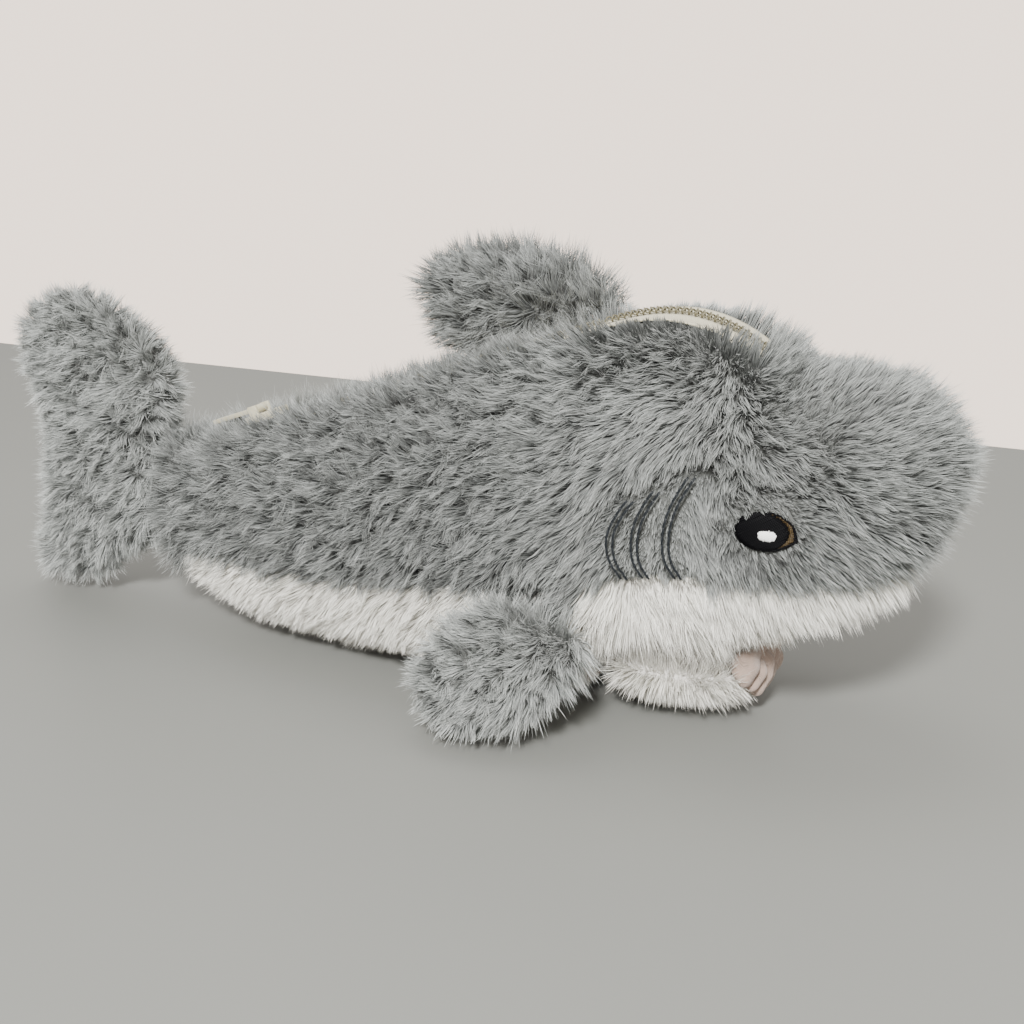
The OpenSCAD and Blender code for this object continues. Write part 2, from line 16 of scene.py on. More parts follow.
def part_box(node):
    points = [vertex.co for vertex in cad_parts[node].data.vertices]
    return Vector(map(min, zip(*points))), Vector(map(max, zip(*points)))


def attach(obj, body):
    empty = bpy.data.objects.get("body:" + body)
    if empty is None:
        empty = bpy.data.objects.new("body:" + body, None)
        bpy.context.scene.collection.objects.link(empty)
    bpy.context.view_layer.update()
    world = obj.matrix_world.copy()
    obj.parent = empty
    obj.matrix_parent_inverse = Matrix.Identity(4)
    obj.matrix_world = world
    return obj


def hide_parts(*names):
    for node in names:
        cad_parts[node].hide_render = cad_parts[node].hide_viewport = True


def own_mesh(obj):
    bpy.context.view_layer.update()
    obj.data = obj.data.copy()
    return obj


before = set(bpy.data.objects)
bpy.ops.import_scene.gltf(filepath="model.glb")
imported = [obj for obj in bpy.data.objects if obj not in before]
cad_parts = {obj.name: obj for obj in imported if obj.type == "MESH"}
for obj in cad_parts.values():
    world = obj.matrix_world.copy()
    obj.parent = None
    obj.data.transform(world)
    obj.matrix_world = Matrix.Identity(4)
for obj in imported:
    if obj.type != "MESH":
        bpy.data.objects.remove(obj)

MM = 0.001
FLOOR_GAP = 0.35 * MM
log = logging.getLogger("plush_shark")

Points = np.ndarray
Guard = Callable[[Points, Points], np.ndarray]


# ---------------------------------------------------------------- small tools


def unit(v: Points) -> Points:
    """Rows of v scaled to length one."""
    return v / np.maximum(np.linalg.norm(v, axis=1), 1e-12)[:, None]


def ease(low: float, high: float, x: Points) -> Points:
    """Smooth step from 0 at low to 1 at high."""
    t = np.clip((x - low) / (high - low), 0, 1)
    return t * t * (3 - 2 * t)


def band(x: Points, rise: tuple[float, float], fall: tuple[float, float]) -> Points:
    """Smooth bump over x: 0 to 1 along rise and back to 0 along fall, both in millimetres."""
    return ease(rise[0] * MM, rise[1] * MM, x) * ease(fall[0] * MM, fall[1] * MM, x)


class Ripple:
    """Smooth pseudo-random values over space, made of a few seeded waves."""

    def __init__(self, wavelength: float, seed: int, waves: int = 9) -> None:
        """Draws the waves.

        Args:
            wavelength: Typical distance between crests, in metres.
            seed: Seed of the random directions and phases.
            waves: How many waves are summed.
        """
        rng = np.random.default_rng(seed)
        direction = unit(rng.normal(size=(waves, 3)))
        self.vectors = direction * (2 * math.pi / wavelength * rng.uniform(0.6, 1.5, (waves, 1)))
        self.phases = rng.uniform(0, 2 * math.pi, waves)

    def __call__(self, p: Points) -> Points:
        """Values of about -1 to 1 at the points p."""
        return np.sin(p @ self.vectors.T + self.phases).sum(axis=1) / math.sqrt(
            len(self.phases) * 1.4
        )


def cad_bvh(*nodes: str) -> BVHTree:
    """A search tree over the triangles of the named frame nodes."""
    places: list[Vector] = []
    faces: list[list[int]] = []
    for name in nodes:
        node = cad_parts[name]
        start = len(places)
        places += [node.matrix_world @ v.co for v in node.data.vertices]
        faces += [[start + i for i in p.vertices] for p in node.data.polygons]
    return BVHTree.FromPolygons(places, faces)


def new_object(name: str, bm: bmesh.types.BMesh, smooth: bool = True) -> bpy.types.Object:
    """Turns a bmesh into an object in the scene and frees it."""
    mesh = bpy.data.meshes.new(name)
    bm.to_mesh(mesh)
    bm.free()
    if smooth:
        mesh.shade_smooth()
    piece = bpy.data.objects.new(name, mesh)
    bpy.context.scene.collection.objects.link(piece)
    return piece


def join_nodes(*nodes: str) -> bmesh.types.BMesh:
    """One bmesh of copies of the named frame nodes, each with its doubles merged."""
    bm = bmesh.new()
    for name in nodes:
        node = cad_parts[name]
        part = bmesh.new()
        part.from_mesh(node.data)
        part.transform(node.matrix_world)
        bmesh.ops.remove_doubles(part, verts=part.verts, dist=0.002 * MM)
        copy = bpy.data.meshes.new("copy")
        part.to_mesh(copy)
        part.free()
        bm.from_mesh(copy)
        bpy.data.meshes.remove(copy)
    return bm


def relax(bm: bmesh.types.BMesh, rounds: int, factor: float) -> None:
    """Moves every vertex towards its neighbours' middle, a few times over."""
    for _ in range(rounds):
        bmesh.ops.smooth_vert(
            bm, verts=bm.verts, factor=factor, use_axis_x=True, use_axis_y=True, use_axis_z=True
        )


def apply_modifiers(piece: bpy.types.Object) -> None:
    """Replaces the piece's mesh with its evaluated mesh and drops the modifiers."""
    graph = bpy.context.evaluated_depsgraph_get()
    mesh = bpy.data.meshes.new_from_object(piece.evaluated_get(graph))
    piece.modifiers.clear()
    old = piece.data
    piece.data = mesh
    bpy.data.meshes.remove(old)


def vertex_array(mesh: bpy.types.Mesh) -> Points:
    """The mesh's vertex places as an array."""
    found = np.empty(len(mesh.vertices) * 3, np.float32)
    mesh.vertices.foreach_get("co", found)
    return found.reshape(-1, 3).astype(float)


def normal_array(mesh: bpy.types.Mesh) -> Points:
    """The mesh's vertex normals as an array."""
    found = np.empty(len(mesh.vertices) * 3, np.float32)
    mesh.vertex_normals.foreach_get("vector", found)
    return found.reshape(-1, 3).astype(float)


def set_vertices(mesh: bpy.types.Mesh, places: Points) -> None:
    """Moves the mesh's vertices to the given places."""
    mesh.vertices.foreach_set("co", places.astype(np.float32).ravel())
    mesh.update()


# ---------------------------------------------------------------- finishes


class Slot(Enum):
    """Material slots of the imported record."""

    GREY_FUR = "grey_fur"
    WHITE_FUR = "white_fur"
    LINING = "lining"
    ZIP_TAPE = "zip_tape"
    ZIP_COIL = "zip_coil"
    ZIP_SLIDER = "zip_slider"
    BROWN_THREAD = "brown_thread"
    WHITE_THREAD = "white_thread"
    BLACK_THREAD = "black_thread"


Colour = tuple[float, float, float]


class NodeGroup:
    """Builds a shader node group once, with named sockets."""

    def __init__(
        self, name: str, inputs: Sequence[tuple[str, str, object]], outputs: Sequence[tuple[str, str]]
    ) -> None:
        """Makes the group's tree and sockets.

        Args:
            name: The group's name.
            inputs: Name, socket kind and starting value of each input.
            outputs: Name and socket kind of each output.
        """
        self.tree = bpy.data.node_groups.new(name, "ShaderNodeTree")
        for label, kind, value in inputs:
            socket = self.tree.interface.new_socket(label, in_out="INPUT", socket_type=kind)
            socket.default_value = value
        for label, kind in outputs:
            self.tree.interface.new_socket(label, in_out="OUTPUT", socket_type=kind)
        self.source = self.tree.nodes.new("NodeGroupInput")
        self.sink = self.tree.nodes.new("NodeGroupOutput")

    def node(self, kind: str, **settings: object) -> bpy.types.Node:
        """Adds a node with the given settings."""
        made = self.tree.nodes.new(kind)
        for key, value in settings.items():
            setattr(made, key, value)
        return made

    def link(self, a: bpy.types.NodeSocket, b: bpy.types.NodeSocket) -> None:
        """Joins two sockets."""
        self.tree.links.new(a, b)


FLOAT, COLOUR = "NodeSocketFloat", "NodeSocketColor"


def pile_tone_group() -> bpy.types.NodeTree:
    """Colour of a fibre from its root to its tip, with slow mottling over the coat: the darker root is
    painted shade, where shade falls between the tufts, and the lighter tip is painted light, where light
    shines through the fibres.
    """
    g = NodeGroup(
        "pile_tone",
        [
            ("Root", COLOUR, (0.1, 0.1, 0.1, 1)),
            ("Body", COLOUR, (0.4, 0.4, 0.4, 1)),
            ("Tip", COLOUR, (0.6, 0.6, 0.6, 1)),
            ("Mottle", FLOAT, 0.2),
        ],
        [("Color", COLOUR)],
    )
    fibre = g.node("ShaderNodeUVMap", uv_map="fibre")
    split = g.node("ShaderNodeSeparateXYZ")
    g.link(fibre.outputs[0], split.inputs[0])
    # Painted shade towards the root and painted light towards the tip, along the fibre map's second
    # coordinate.
    low = g.node("ShaderNodeMapRange", interpolation_type="SMOOTHSTEP")
    low.inputs["From Max"].default_value = 0.45
    high = g.node("ShaderNodeMapRange", interpolation_type="SMOOTHSTEP")
    high.inputs["From Min"].default_value = 0.58
    for ramp in (low, high):
        g.link(split.outputs["Y"], ramp.inputs["Value"])
    first = g.node("ShaderNodeMix", data_type="RGBA")
    g.link(low.outputs[0], first.inputs["Factor"])
    g.link(g.source.outputs["Root"], first.inputs["A"])
    g.link(g.source.outputs["Body"], first.inputs["B"])
    second = g.node("ShaderNodeMix", data_type="RGBA")
    g.link(high.outputs[0], second.inputs["Factor"])
    g.link(first.outputs["Result"], second.inputs["A"])
    g.link(g.source.outputs["Tip"], second.inputs["B"])
    place = g.node("ShaderNodeTexCoord")
    noise = g.node("ShaderNodeTexNoise")
    noise.inputs["Scale"].default_value = 110
    noise.inputs["Detail"].default_value = 2
    g.link(place.outputs["Object"], noise.inputs["Vector"])
    lone = g.node("ShaderNodeMath", operation="MULTIPLY_ADD")
    g.link(split.outputs["X"], lone.inputs[0])
    lone.inputs[1].default_value = 0.9
    g.link(noise.outputs["Fac"], lone.inputs[2])
    centred = g.node("ShaderNodeMath", operation="SUBTRACT")
    g.link(lone.outputs[0], centred.inputs[0])
    centred.inputs[1].default_value = 0.95
    scaled = g.node("ShaderNodeMath", operation="MULTIPLY_ADD")
    g.link(centred.outputs[0], scaled.inputs[0])
    g.link(g.source.outputs["Mottle"], scaled.inputs[1])
    scaled.inputs[2].default_value = 1.0
    toned = g.node("ShaderNodeVectorMath", operation="SCALE")
    g.link(second.outputs["Result"], toned.inputs[0])
    g.link(scaled.outputs[0], toned.inputs["Scale"])
    g.link(toned.outputs[0], g.sink.inputs["Color"])
    return g.tree


def weave_group() -> bpy.types.NodeTree:
    """A woven ground: warp and weft relief, painted shade that darkens the colour between threads, and soft
    creases.
    """
    g = NodeGroup(
        "weave",
        [
            ("Thread", COLOUR, (0.8, 0.75, 0.6, 1)),
            ("Between", COLOUR, (0.4, 0.35, 0.3, 1)),
            ("Threads per m", FLOAT, 2200.0),
            ("Crease", FLOAT, 0.5),
        ],
        [("Color", COLOUR), ("Height", FLOAT), ("Roughness", FLOAT)],
    )
    place = g.node("ShaderNodeTexCoord")
    heights = []
    for turn in (0.0, math.pi / 2):
        turned = g.node("ShaderNodeMapping")
        turned.inputs["Rotation"].default_value = (0, turn, 0.35 + turn)
        g.link(place.outputs["Object"], turned.inputs["Vector"])
        wave = g.node("ShaderNodeTexWave", wave_type="BANDS", bands_direction="X")
        g.link(turned.outputs[0], wave.inputs["Vector"])
        g.link(g.source.outputs["Threads per m"], wave.inputs["Scale"])
        wave.inputs["Distortion"].default_value = 0.6
        heights.append(wave.outputs["Fac"])
    both = g.node("ShaderNodeMath", operation="MAXIMUM")
    g.link(heights[0], both.inputs[0])
    g.link(heights[1], both.inputs[1])
    crease = g.node("ShaderNodeTexNoise")
    crease.inputs["Scale"].default_value = 160
    crease.inputs["Detail"].default_value = 3
    g.link(place.outputs["Object"], crease.inputs["Vector"])
    tall = g.node("ShaderNodeMath", operation="MULTIPLY_ADD")
    g.link(crease.outputs["Fac"], tall.inputs[0])
    g.link(g.source.outputs["Crease"], tall.inputs[1])
    g.link(both.outputs[0], tall.inputs[2])
    # Painted shade: the colour darkens where the weave is low, between the threads.
    mix = g.node("ShaderNodeMix", data_type="RGBA")
    g.link(both.outputs[0], mix.inputs["Factor"])
    g.link(g.source.outputs["Between"], mix.inputs["A"])
    g.link(g.source.outputs["Thread"], mix.inputs["B"])
    rough = g.node("ShaderNodeMapRange")
    rough.inputs["To Min"].default_value = 0.95
    rough.inputs["To Max"].default_value = 0.75
    g.link(both.outputs[0], rough.inputs["Value"])
    g.link(mix.outputs["Result"], g.sink.inputs["Color"])
    g.link(tall.outputs[0], g.sink.inputs["Height"])
    g.link(rough.outputs[0], g.sink.inputs["Roughness"])
    return g.tree


def thread_group() -> bpy.types.NodeTree:
    """Satin stitches side by side: fine parallel threads, slightly uneven, with painted shade in the
    grooves between them.
    """
    g = NodeGroup(
        "satin_thread",
        [("Thread", COLOUR, (0.02, 0.02, 0.02, 1)), ("Shade", COLOUR, (0.0, 0.0, 0.0, 1)),
         ("Lean", FLOAT, 0.4)],
        [("Color", COLOUR), ("Height", FLOAT)],
    )
    place = g.node("ShaderNodeTexCoord")
    spin = g.node("ShaderNodeVectorRotate", rotation_type="Y_AXIS")
    g.link(place.outputs["Object"], spin.inputs["Vector"])
    g.link(g.source.outputs["Lean"], spin.inputs["Angle"])
    wave = g.node("ShaderNodeTexWave", wave_type="BANDS", bands_direction="X")
    wave.inputs["Scale"].default_value = 900
    wave.inputs["Distortion"].default_value = 1.6
    wave.inputs["Detail"].default_value = 1
    wave.inputs["Detail Scale"].default_value = 2
    g.link(spin.outputs[0], wave.inputs["Vector"])
    # Painted shade: the colour darkens where the threads' relief is low.
    mix = g.node("ShaderNodeMix", data_type="RGBA")
    g.link(wave.outputs["Fac"], mix.inputs["Factor"])
    g.link(g.source.outputs["Shade"], mix.inputs["A"])
    g.link(g.source.outputs["Thread"], mix.inputs["B"])
    g.link(mix.outputs["Result"], g.sink.inputs["Color"])
    g.link(wave.outputs["Fac"], g.sink.inputs["Height"])
    return g.tree


class Finish:
    """A named material with one Principled shader."""

    groups: dict[str, bpy.types.NodeTree] = {}

    def __init__(self, name: str, roughness: float, specular: float, **constants: float) -> None:
        """Makes the material.

        Args:
            name: The material's name.
            roughness: Roughness where no pattern drives it.
            specular: Specular level.
            constants: Other constant sockets, with underscores for spaces.
        """
        self.material = bpy.data.materials.new(name)
        self.material.use_nodes = True
        self.nodes = self.material.node_tree.nodes
        self.shader = self.nodes["Principled BSDF"]
        self.shader.inputs["Roughness"].default_value = roughness
        self.shader.inputs["Specular IOR Level"].default_value = specular
        for key, value in constants.items():
            self.shader.inputs[key.replace("_", " ")].default_value = value

    def group(self, kind: str, **values: object) -> bpy.types.Node:
        """Adds one of the shared node groups with its own values."""
        makers = {"pile_tone": pile_tone_group, "weave": weave_group, "satin_thread": thread_group}
        if kind not in Finish.groups:
            Finish.groups[kind] = makers[kind]()
        node = self.nodes.new("ShaderNodeGroup")
        node.node_tree = Finish.groups[kind]
        for key, value in values.items():
            label = key.replace("_", " ")
            node.inputs[label].default_value = (*value, 1) if isinstance(value, tuple) else value
        return node

    def link(self, a: bpy.types.NodeSocket, b: str | bpy.types.NodeSocket) -> None:
        """Joins a socket to one of the shader's, by name, or to another socket."""
        target = self.shader.inputs[b] if isinstance(b, str) else b
        self.material.node_tree.links.new(a, target)

    def speckle(self, scale: float, detail: float, a: Colour, b: Colour) -> bpy.types.NodeSocket:
        """Mixes two base colours by a noise over the object.

        Args:
            scale: Scale of the noise.
            detail: Detail of the noise.
            a: Colour where the noise is low.
            b: Colour where it is high.

        Returns:
            The noise's own output.
        """
        place = self.nodes.new("ShaderNodeTexCoord")
        noise = self.nodes.new("ShaderNodeTexNoise")
        noise.inputs["Scale"].default_value = scale
        noise.inputs["Detail"].default_value = detail
        mix = self.nodes.new("ShaderNodeMix")
        mix.data_type = "RGBA"
        mix.inputs["A"].default_value = (*a, 1)
        mix.inputs["B"].default_value = (*b, 1)
        self.link(place.outputs["Object"], noise.inputs["Vector"])
        self.link(noise.outputs["Fac"], mix.inputs["Factor"])
        self.link(mix.outputs["Result"], "Base Color")
        return noise.outputs["Fac"]

    def relief(self, height: bpy.types.NodeSocket, strength: float, distance: float) -> None:
        """Drives the normal from a height."""
        bump = self.nodes.new("ShaderNodeBump")
        bump.inputs["Strength"].default_value = strength
        bump.inputs["Distance"].default_value = distance
        self.link(height, bump.inputs["Height"])
        self.link(bump.outputs[0], "Normal")


@dataclass(frozen=True)
class PileFinish:
    """Colours of one fur, from root to tip: the dark root is painted shade between the tufts and the light
    tip is painted light through the fibres.
    """

    name: str
    root: Colour
    body: Colour
    tip: Colour
    mottle: float = 0.28
    roughness: float = 0.62
    specular: float = 0.3

    def make(self) -> bpy.types.Material:
        """Builds the material."""
        f = Finish(self.name, self.roughness, self.specular, Sheen_Weight=0.15, Sheen_Roughness=0.4)
        tone = f.group("pile_tone", Root=self.root, Body=self.body, Tip=self.tip, Mottle=self.mottle)
        f.link(tone.outputs["Color"], "Base Color")
        return f.material


@dataclass(frozen=True)
class WovenFinish:
    """A woven or knitted cloth."""

    name: str
    thread: Colour
    # Painted shade between the threads.
    between: Colour
    threads_per_m: float = 2200.0
    crease: float = 0.4
    depth: float = 0.12 * MM
    sheen: float = 0.1

    def make(self) -> bpy.types.Material:
        """Builds the material."""
        f = Finish(self.name, 0.85, 0.2, Sheen_Weight=self.sheen)
        cloth = f.group(
            "weave", Thread=self.thread, Between=self.between,
            Threads_per_m=self.threads_per_m, Crease=self.crease,
        )
        f.link(cloth.outputs["Color"], "Base Color")
        f.link(cloth.outputs["Roughness"], "Roughness")
        f.relief(cloth.outputs["Height"], 0.6, self.depth)
        return f.material


@dataclass(frozen=True)
class ThreadFinish:
    """Shiny embroidery thread."""

    name: str
    thread: Colour
    # Painted shade in the grooves between the threads.
    shade: Colour
    lean: float
    roughness: float = 0.38
    gloss: float = 0.25

    def make(self) -> bpy.types.Material:
        """Builds the material."""
        f = Finish(self.name, self.roughness, self.gloss)
        satin = f.group("satin_thread", Thread=self.thread, Shade=self.shade, Lean=self.lean)
        f.link(satin.outputs["Color"], "Base Color")
        f.relief(satin.outputs["Height"], 0.5, 0.06 * MM)
        return f.material


@dataclass(frozen=True)
class HardFinish:
    """Smooth nylon or paint, with faint handling marks."""

    name: str
    base: Colour
    worn: Colour
    roughness: float

    def make(self) -> bpy.types.Material:
        """Builds the material."""
        f = Finish(self.name, self.roughness, 0.5)
        marks = f.speckle(700, 4, self.base, self.worn)
        f.relief(marks, 0.15, 0.05 * MM)
        return f.material


# Pile colours: each dark root colour is painted shade and each light tip colour is painted light.
GREY_PILE = PileFinish(
    "grey_pile", (0.036, 0.038, 0.037), (0.142, 0.150, 0.147), (0.40, 0.419, 0.41), mottle=0.28
)
# The grey pile drawn lighter, with lighter roots, for the tail and side fins: painted light, for the
# stronger light on the fins.
FIN_PILE_PAINTED_LIGHT = PileFinish(
    "fin_pile", (0.14, 0.147, 0.143), (0.28, 0.294, 0.288), (0.54, 0.565, 0.552), mottle=0.25
)
WHITE_PILE = PileFinish(
    "white_pile", (0.44, 0.425, 0.385), (0.74, 0.728, 0.675), (0.86, 0.85, 0.80), mottle=0.14
)
# Each cloth's second colour is painted shade between its threads.
GREY_BACKING = WovenFinish("grey_backing", (0.12, 0.125, 0.12), (0.06, 0.062, 0.06))
WHITE_BACKING = WovenFinish("white_backing", (0.72, 0.70, 0.67), (0.45, 0.43, 0.41))
LINING_CLOTH = WovenFinish(
    "lining_cloth", (0.37, 0.28, 0.235), (0.25, 0.185, 0.15), 1800.0, 1.4, 0.16 * MM, 0.3
)
TAPE_CLOTH = WovenFinish("tape_cloth", (0.52, 0.49, 0.37), (0.34, 0.31, 0.22), 1500.0, 0.2)
COIL_NYLON = HardFinish("coil_nylon", (0.150, 0.135, 0.085), (0.10, 0.09, 0.055), 0.38)
SLIDER_PAINT = HardFinish("slider_paint", (0.46, 0.43, 0.32), (0.38, 0.35, 0.25), 0.35)
# Each thread's second colour is painted shade in the grooves between its threads.
BLACK_THREAD = ThreadFinish(
    "black_thread", (0.004, 0.004, 0.005), (0.001, 0.001, 0.0015), 0.5, roughness=0.5, gloss=0.07
)
GREY_THREAD = ThreadFinish("slate_thread", (0.022, 0.026, 0.030), (0.005, 0.006, 0.008), 0.2, 0.3)
BROWN_THREAD = ThreadFinish("brown_thread", (0.060, 0.038, 0.012), (0.015, 0.009, 0.003), 0.2)
WHITE_THREAD = ThreadFinish("white_thread", (0.95, 0.95, 0.95), (0.80, 0.80, 0.80), 1.2)


class Palette:
    """Makes each finish's material once."""

    def __init__(self) -> None:
        """Starts with no materials."""
        self.made: dict[str, bpy.types.Material] = {}

    def __call__(self, finish: object) -> bpy.types.Material:
        """The material of a finish."""
        if finish.name not in self.made:
            self.made[finish.name] = finish.make()
        return self.made[finish.name]


# ---------------------------------------------------------------- padded skins


@dataclass
class Padding:
    """How a padded skin is swelled by a short cloth simulation."""

    pressure: float = 4.0
    cap: float = 1.4 * MM
    pinned: Callable[[Points], np.ndarray] | None = None

    def swell(self, piece: bpy.types.Object) -> None:
        """Runs the simulation on the piece and keeps its result, no point moving past the cap.

        Args:
            piece: A closed skin, whose mesh is changed.
        """
        before = vertex_array(piece.data)
        group = piece.vertex_groups.new(name="held")
        if self.pinned is not None:
            held = np.flatnonzero(self.pinned(before))
            group.add([int(i) for i in held], 1.0, "REPLACE")
        cloth = piece.modifiers.new("cloth", "CLOTH")
        cloth.settings.quality = 5
        cloth.settings.mass = 0.2
        cloth.settings.use_pressure = True
        cloth.settings.uniform_pressure_force = self.pressure
        cloth.settings.effector_weights.gravity = 0
        cloth.settings.tension_stiffness = 30
        cloth.settings.bending_stiffness = 0.2
        cloth.settings.vertex_group_mass = "held" if self.pinned is not None else ""
        cloth.collision_settings.use_collision = False
        scene = bpy.context.scene
        for step in range(1, 21):
            scene.frame_set(step)
        graph = bpy.context.evaluated_depsgraph_get()
        after = vertex_array(piece.evaluated_get(graph).data)
        piece.modifiers.clear()
        piece.vertex_groups.clear()
        scene.frame_set(1)
        move = after - before
        size = np.linalg.norm(move, axis=1)
        move *= (np.minimum(size, self.cap) / np.maximum(size, 1e-9))[:, None]
        set_vertices(piece.data, before + move)


def subdivide(piece: bpy.types.Object) -> None:
    """Adds one level of Catmull-Clark subdivision and applies it."""
    smooth = piece.modifiers.new("smooth", "SUBSURF")
    smooth.levels = smooth.render_levels = 1
    apply_modifiers(piece)


def voxel_copy(name: str, nodes: Sequence[str], voxel: float) -> bpy.types.Object:
    """An even voxel mesh around copies of the named frame nodes."""
    piece = new_object(name, join_nodes(*nodes))
    remesh = piece.modifiers.new("remesh", "REMESH")
    remesh.mode = "VOXEL"
    remesh.voxel_size = voxel
    apply_modifiers(piece)
    return piece


def outer_shell(name: str, nodes: Sequence[str], voxel: float) -> bpy.types.Object:
    """A remeshed, smoothed outer skin over several frame nodes, without any hollow inside.

    Args:
        name: The new object's name.
        nodes: Frame nodes that the skin covers.
        voxel: Voxel size of the remesh.

    Returns:
        The skin.
    """
    piece = voxel_copy(name, nodes, voxel)
    bm = bmesh.new()
    bm.from_mesh(piece.data)
    left, largest = set(bm.verts), set()
    while left:
        island, edge = set(), [next(iter(left))]
        while edge:
            v = edge.pop()
            if v not in island:
                island.add(v)
                edge += [e.other_vert(v) for e in v.link_edges]
        left -= island
        largest = max(largest, island, key=len)
    bmesh.ops.delete(bm, geom=[v for v in bm.verts if v not in largest], context="VERTS")
    relax(bm, 3, 0.5)
    bm.to_mesh(piece.data)
    bm.free()
    return piece


@dataclass
class PillowSkin:
    """The backing cloth of a stuffed fin, lobe or jaw, shrunk under its pile."""

    name: str
    nodes: tuple[str, ...]
    voxel: float = 2.0 * MM
    sink: float = 0.8 * MM
    padding: Padding = field(default_factory=Padding)

    def build(self) -> bpy.types.Object:
        """Remeshes the filling, swells it and returns the skin."""
        piece = outer_shell(self.name, self.nodes, self.voxel)
        places, normals = vertex_array(piece.data), normal_array(piece.data)
        places = places - normals * self.sink
        places[:, 2] = np.maximum(places[:, 2], 1.2 * MM)
        set_vertices(piece.data, places)
        self.padding.swell(piece)
        subdivide(piece)
        piece.data.shade_smooth()
        return piece


@dataclass
class BodySkin:
    """The backing cloth of the body, laid under the outside of its panels."""

    depth: Callable[[Points, Points], np.ndarray]
    name: str = "body_backing"
    voxel: float = 2.4 * MM
    slot_half: float = 7.7 * MM
    slot_rear: float = -51.0 * MM
    slot_front: float = 76.5 * MM
    nodes: tuple[str, ...] = (
        "flank_right", "flank_left", "belly_panel", "snout_panel", "head_stuffing", "rear_stuffing",
        "zip_tape_right", "zip_tape_left", "zip_front_tape_right", "zip_front_tape_left",
    )

    def build(self) -> bpy.types.Object:
        """Remeshes the panels, sinks them under the pile, swells them and opens the zip slot."""
        piece = outer_shell(self.name, self.nodes, self.voxel)
        places, normals = vertex_array(piece.data), normal_array(piece.data)
        places = places - normals * self.depth(places, normals)[:, None]
        places[:, 2] = np.maximum(places[:, 2], 1.4 * MM)
        set_vertices(piece.data, places)
        Padding(3.0, 0.9 * MM, self.held).swell(piece)
        subdivide(piece)
        self.open_slot(piece)
        piece.data.shade_smooth()
        return piece

    def over_slot(self, places: Points, half: float) -> np.ndarray:
        """Which points lie within half of the zip's middle line."""
        x, y, z = places.T
        return (np.abs(y) < half) & (x > self.slot_rear) & (x < self.slot_front) & (z > 40 * MM)

    def held(self, places: Points) -> np.ndarray:
        """Points that the simulation leaves in place: the slot, the base and the mouth's roof."""
        x, _, z = places.T
        mouth = (x > 46 * MM) & (x < 82 * MM) & (z < 26 * MM)
        return self.over_slot(places, 12 * MM) | mouth | (z < 2.5 * MM)

    def open_slot(self, piece: bpy.types.Object) -> None:
        """Cuts the skin along the sewn edges of the zip and takes out the strip between."""
        bm = bmesh.new()
        bm.from_mesh(piece.data)

        def top_faces() -> list[bmesh.types.BMFace]:
            """Faces of the back over the length of the zip."""
            found = []
            for f in bm.faces:
                x, y, z = f.calc_center_median()
                if f.normal.z > 0.3 and abs(y) < 14 * MM and z > 40 * MM:
                    if self.slot_rear - 4 * MM < x < self.slot_front + 4 * MM:
                        found.append(f)
            return found

        sides = [((0, s * self.slot_half, 0), (0, 1, 0)) for s in (-1, 1)]
        ends = [((x, 0, 0), (1, 0, 0)) for x in (self.slot_rear, self.slot_front)]
        for at, way in sides + ends:
            faces = top_faces()
            edges = {e for f in faces for e in f.edges}
            verts = {v for f in faces for v in f.verts}
            bmesh.ops.bisect_plane(
                bm, geom=[*faces, *edges, *verts], dist=1e-6, plane_co=at, plane_no=way
            )
        inside = []
        for f in top_faces():
            x, y, _ = f.calc_center_median()
            if abs(y) < self.slot_half and self.slot_rear < x < self.slot_front:
                inside.append(f)
        bmesh.ops.delete(bm, geom=inside, context="FACES")
        bm.to_mesh(piece.data)
        bm.free()


# ---------------------------------------------------------------- combed pile


@dataclass(frozen=True)
class Pile:
    """The fibres of one coat.

    Attributes:
        length: Full length of a fibre.
        width: Half its width at the root.
        per_mm2: Fibres on a square millimetre.
        lean: Tilt from the skin's normal, in degrees.
        combed: Further tilt towards the head.
        droop: Bend from root to tip, in degrees.
        tuft: Distance between tufts.
        gather: How far tips draw into their tuft.
        stray: Spread of a lone fibre's direction, in radians.
        swirl: How far the nap turns aside, in degrees.
        uneven: Spread of the lengths.
        ruffle: Disorder of the nap, strongest at the rear.
    """

    length: float = 5.9 * MM
    width: float = 0.085 * MM
    per_mm2: float = 10.5
    lean: float = 7.0
    combed: float = 26.0
    droop: float = 9.0
    tuft: float = 1.3 * MM
    gather: float = 0.62
    stray: float = 0.16
    swirl: float = 34.0
    uneven: float = 0.2
    ruffle: float = 0.75


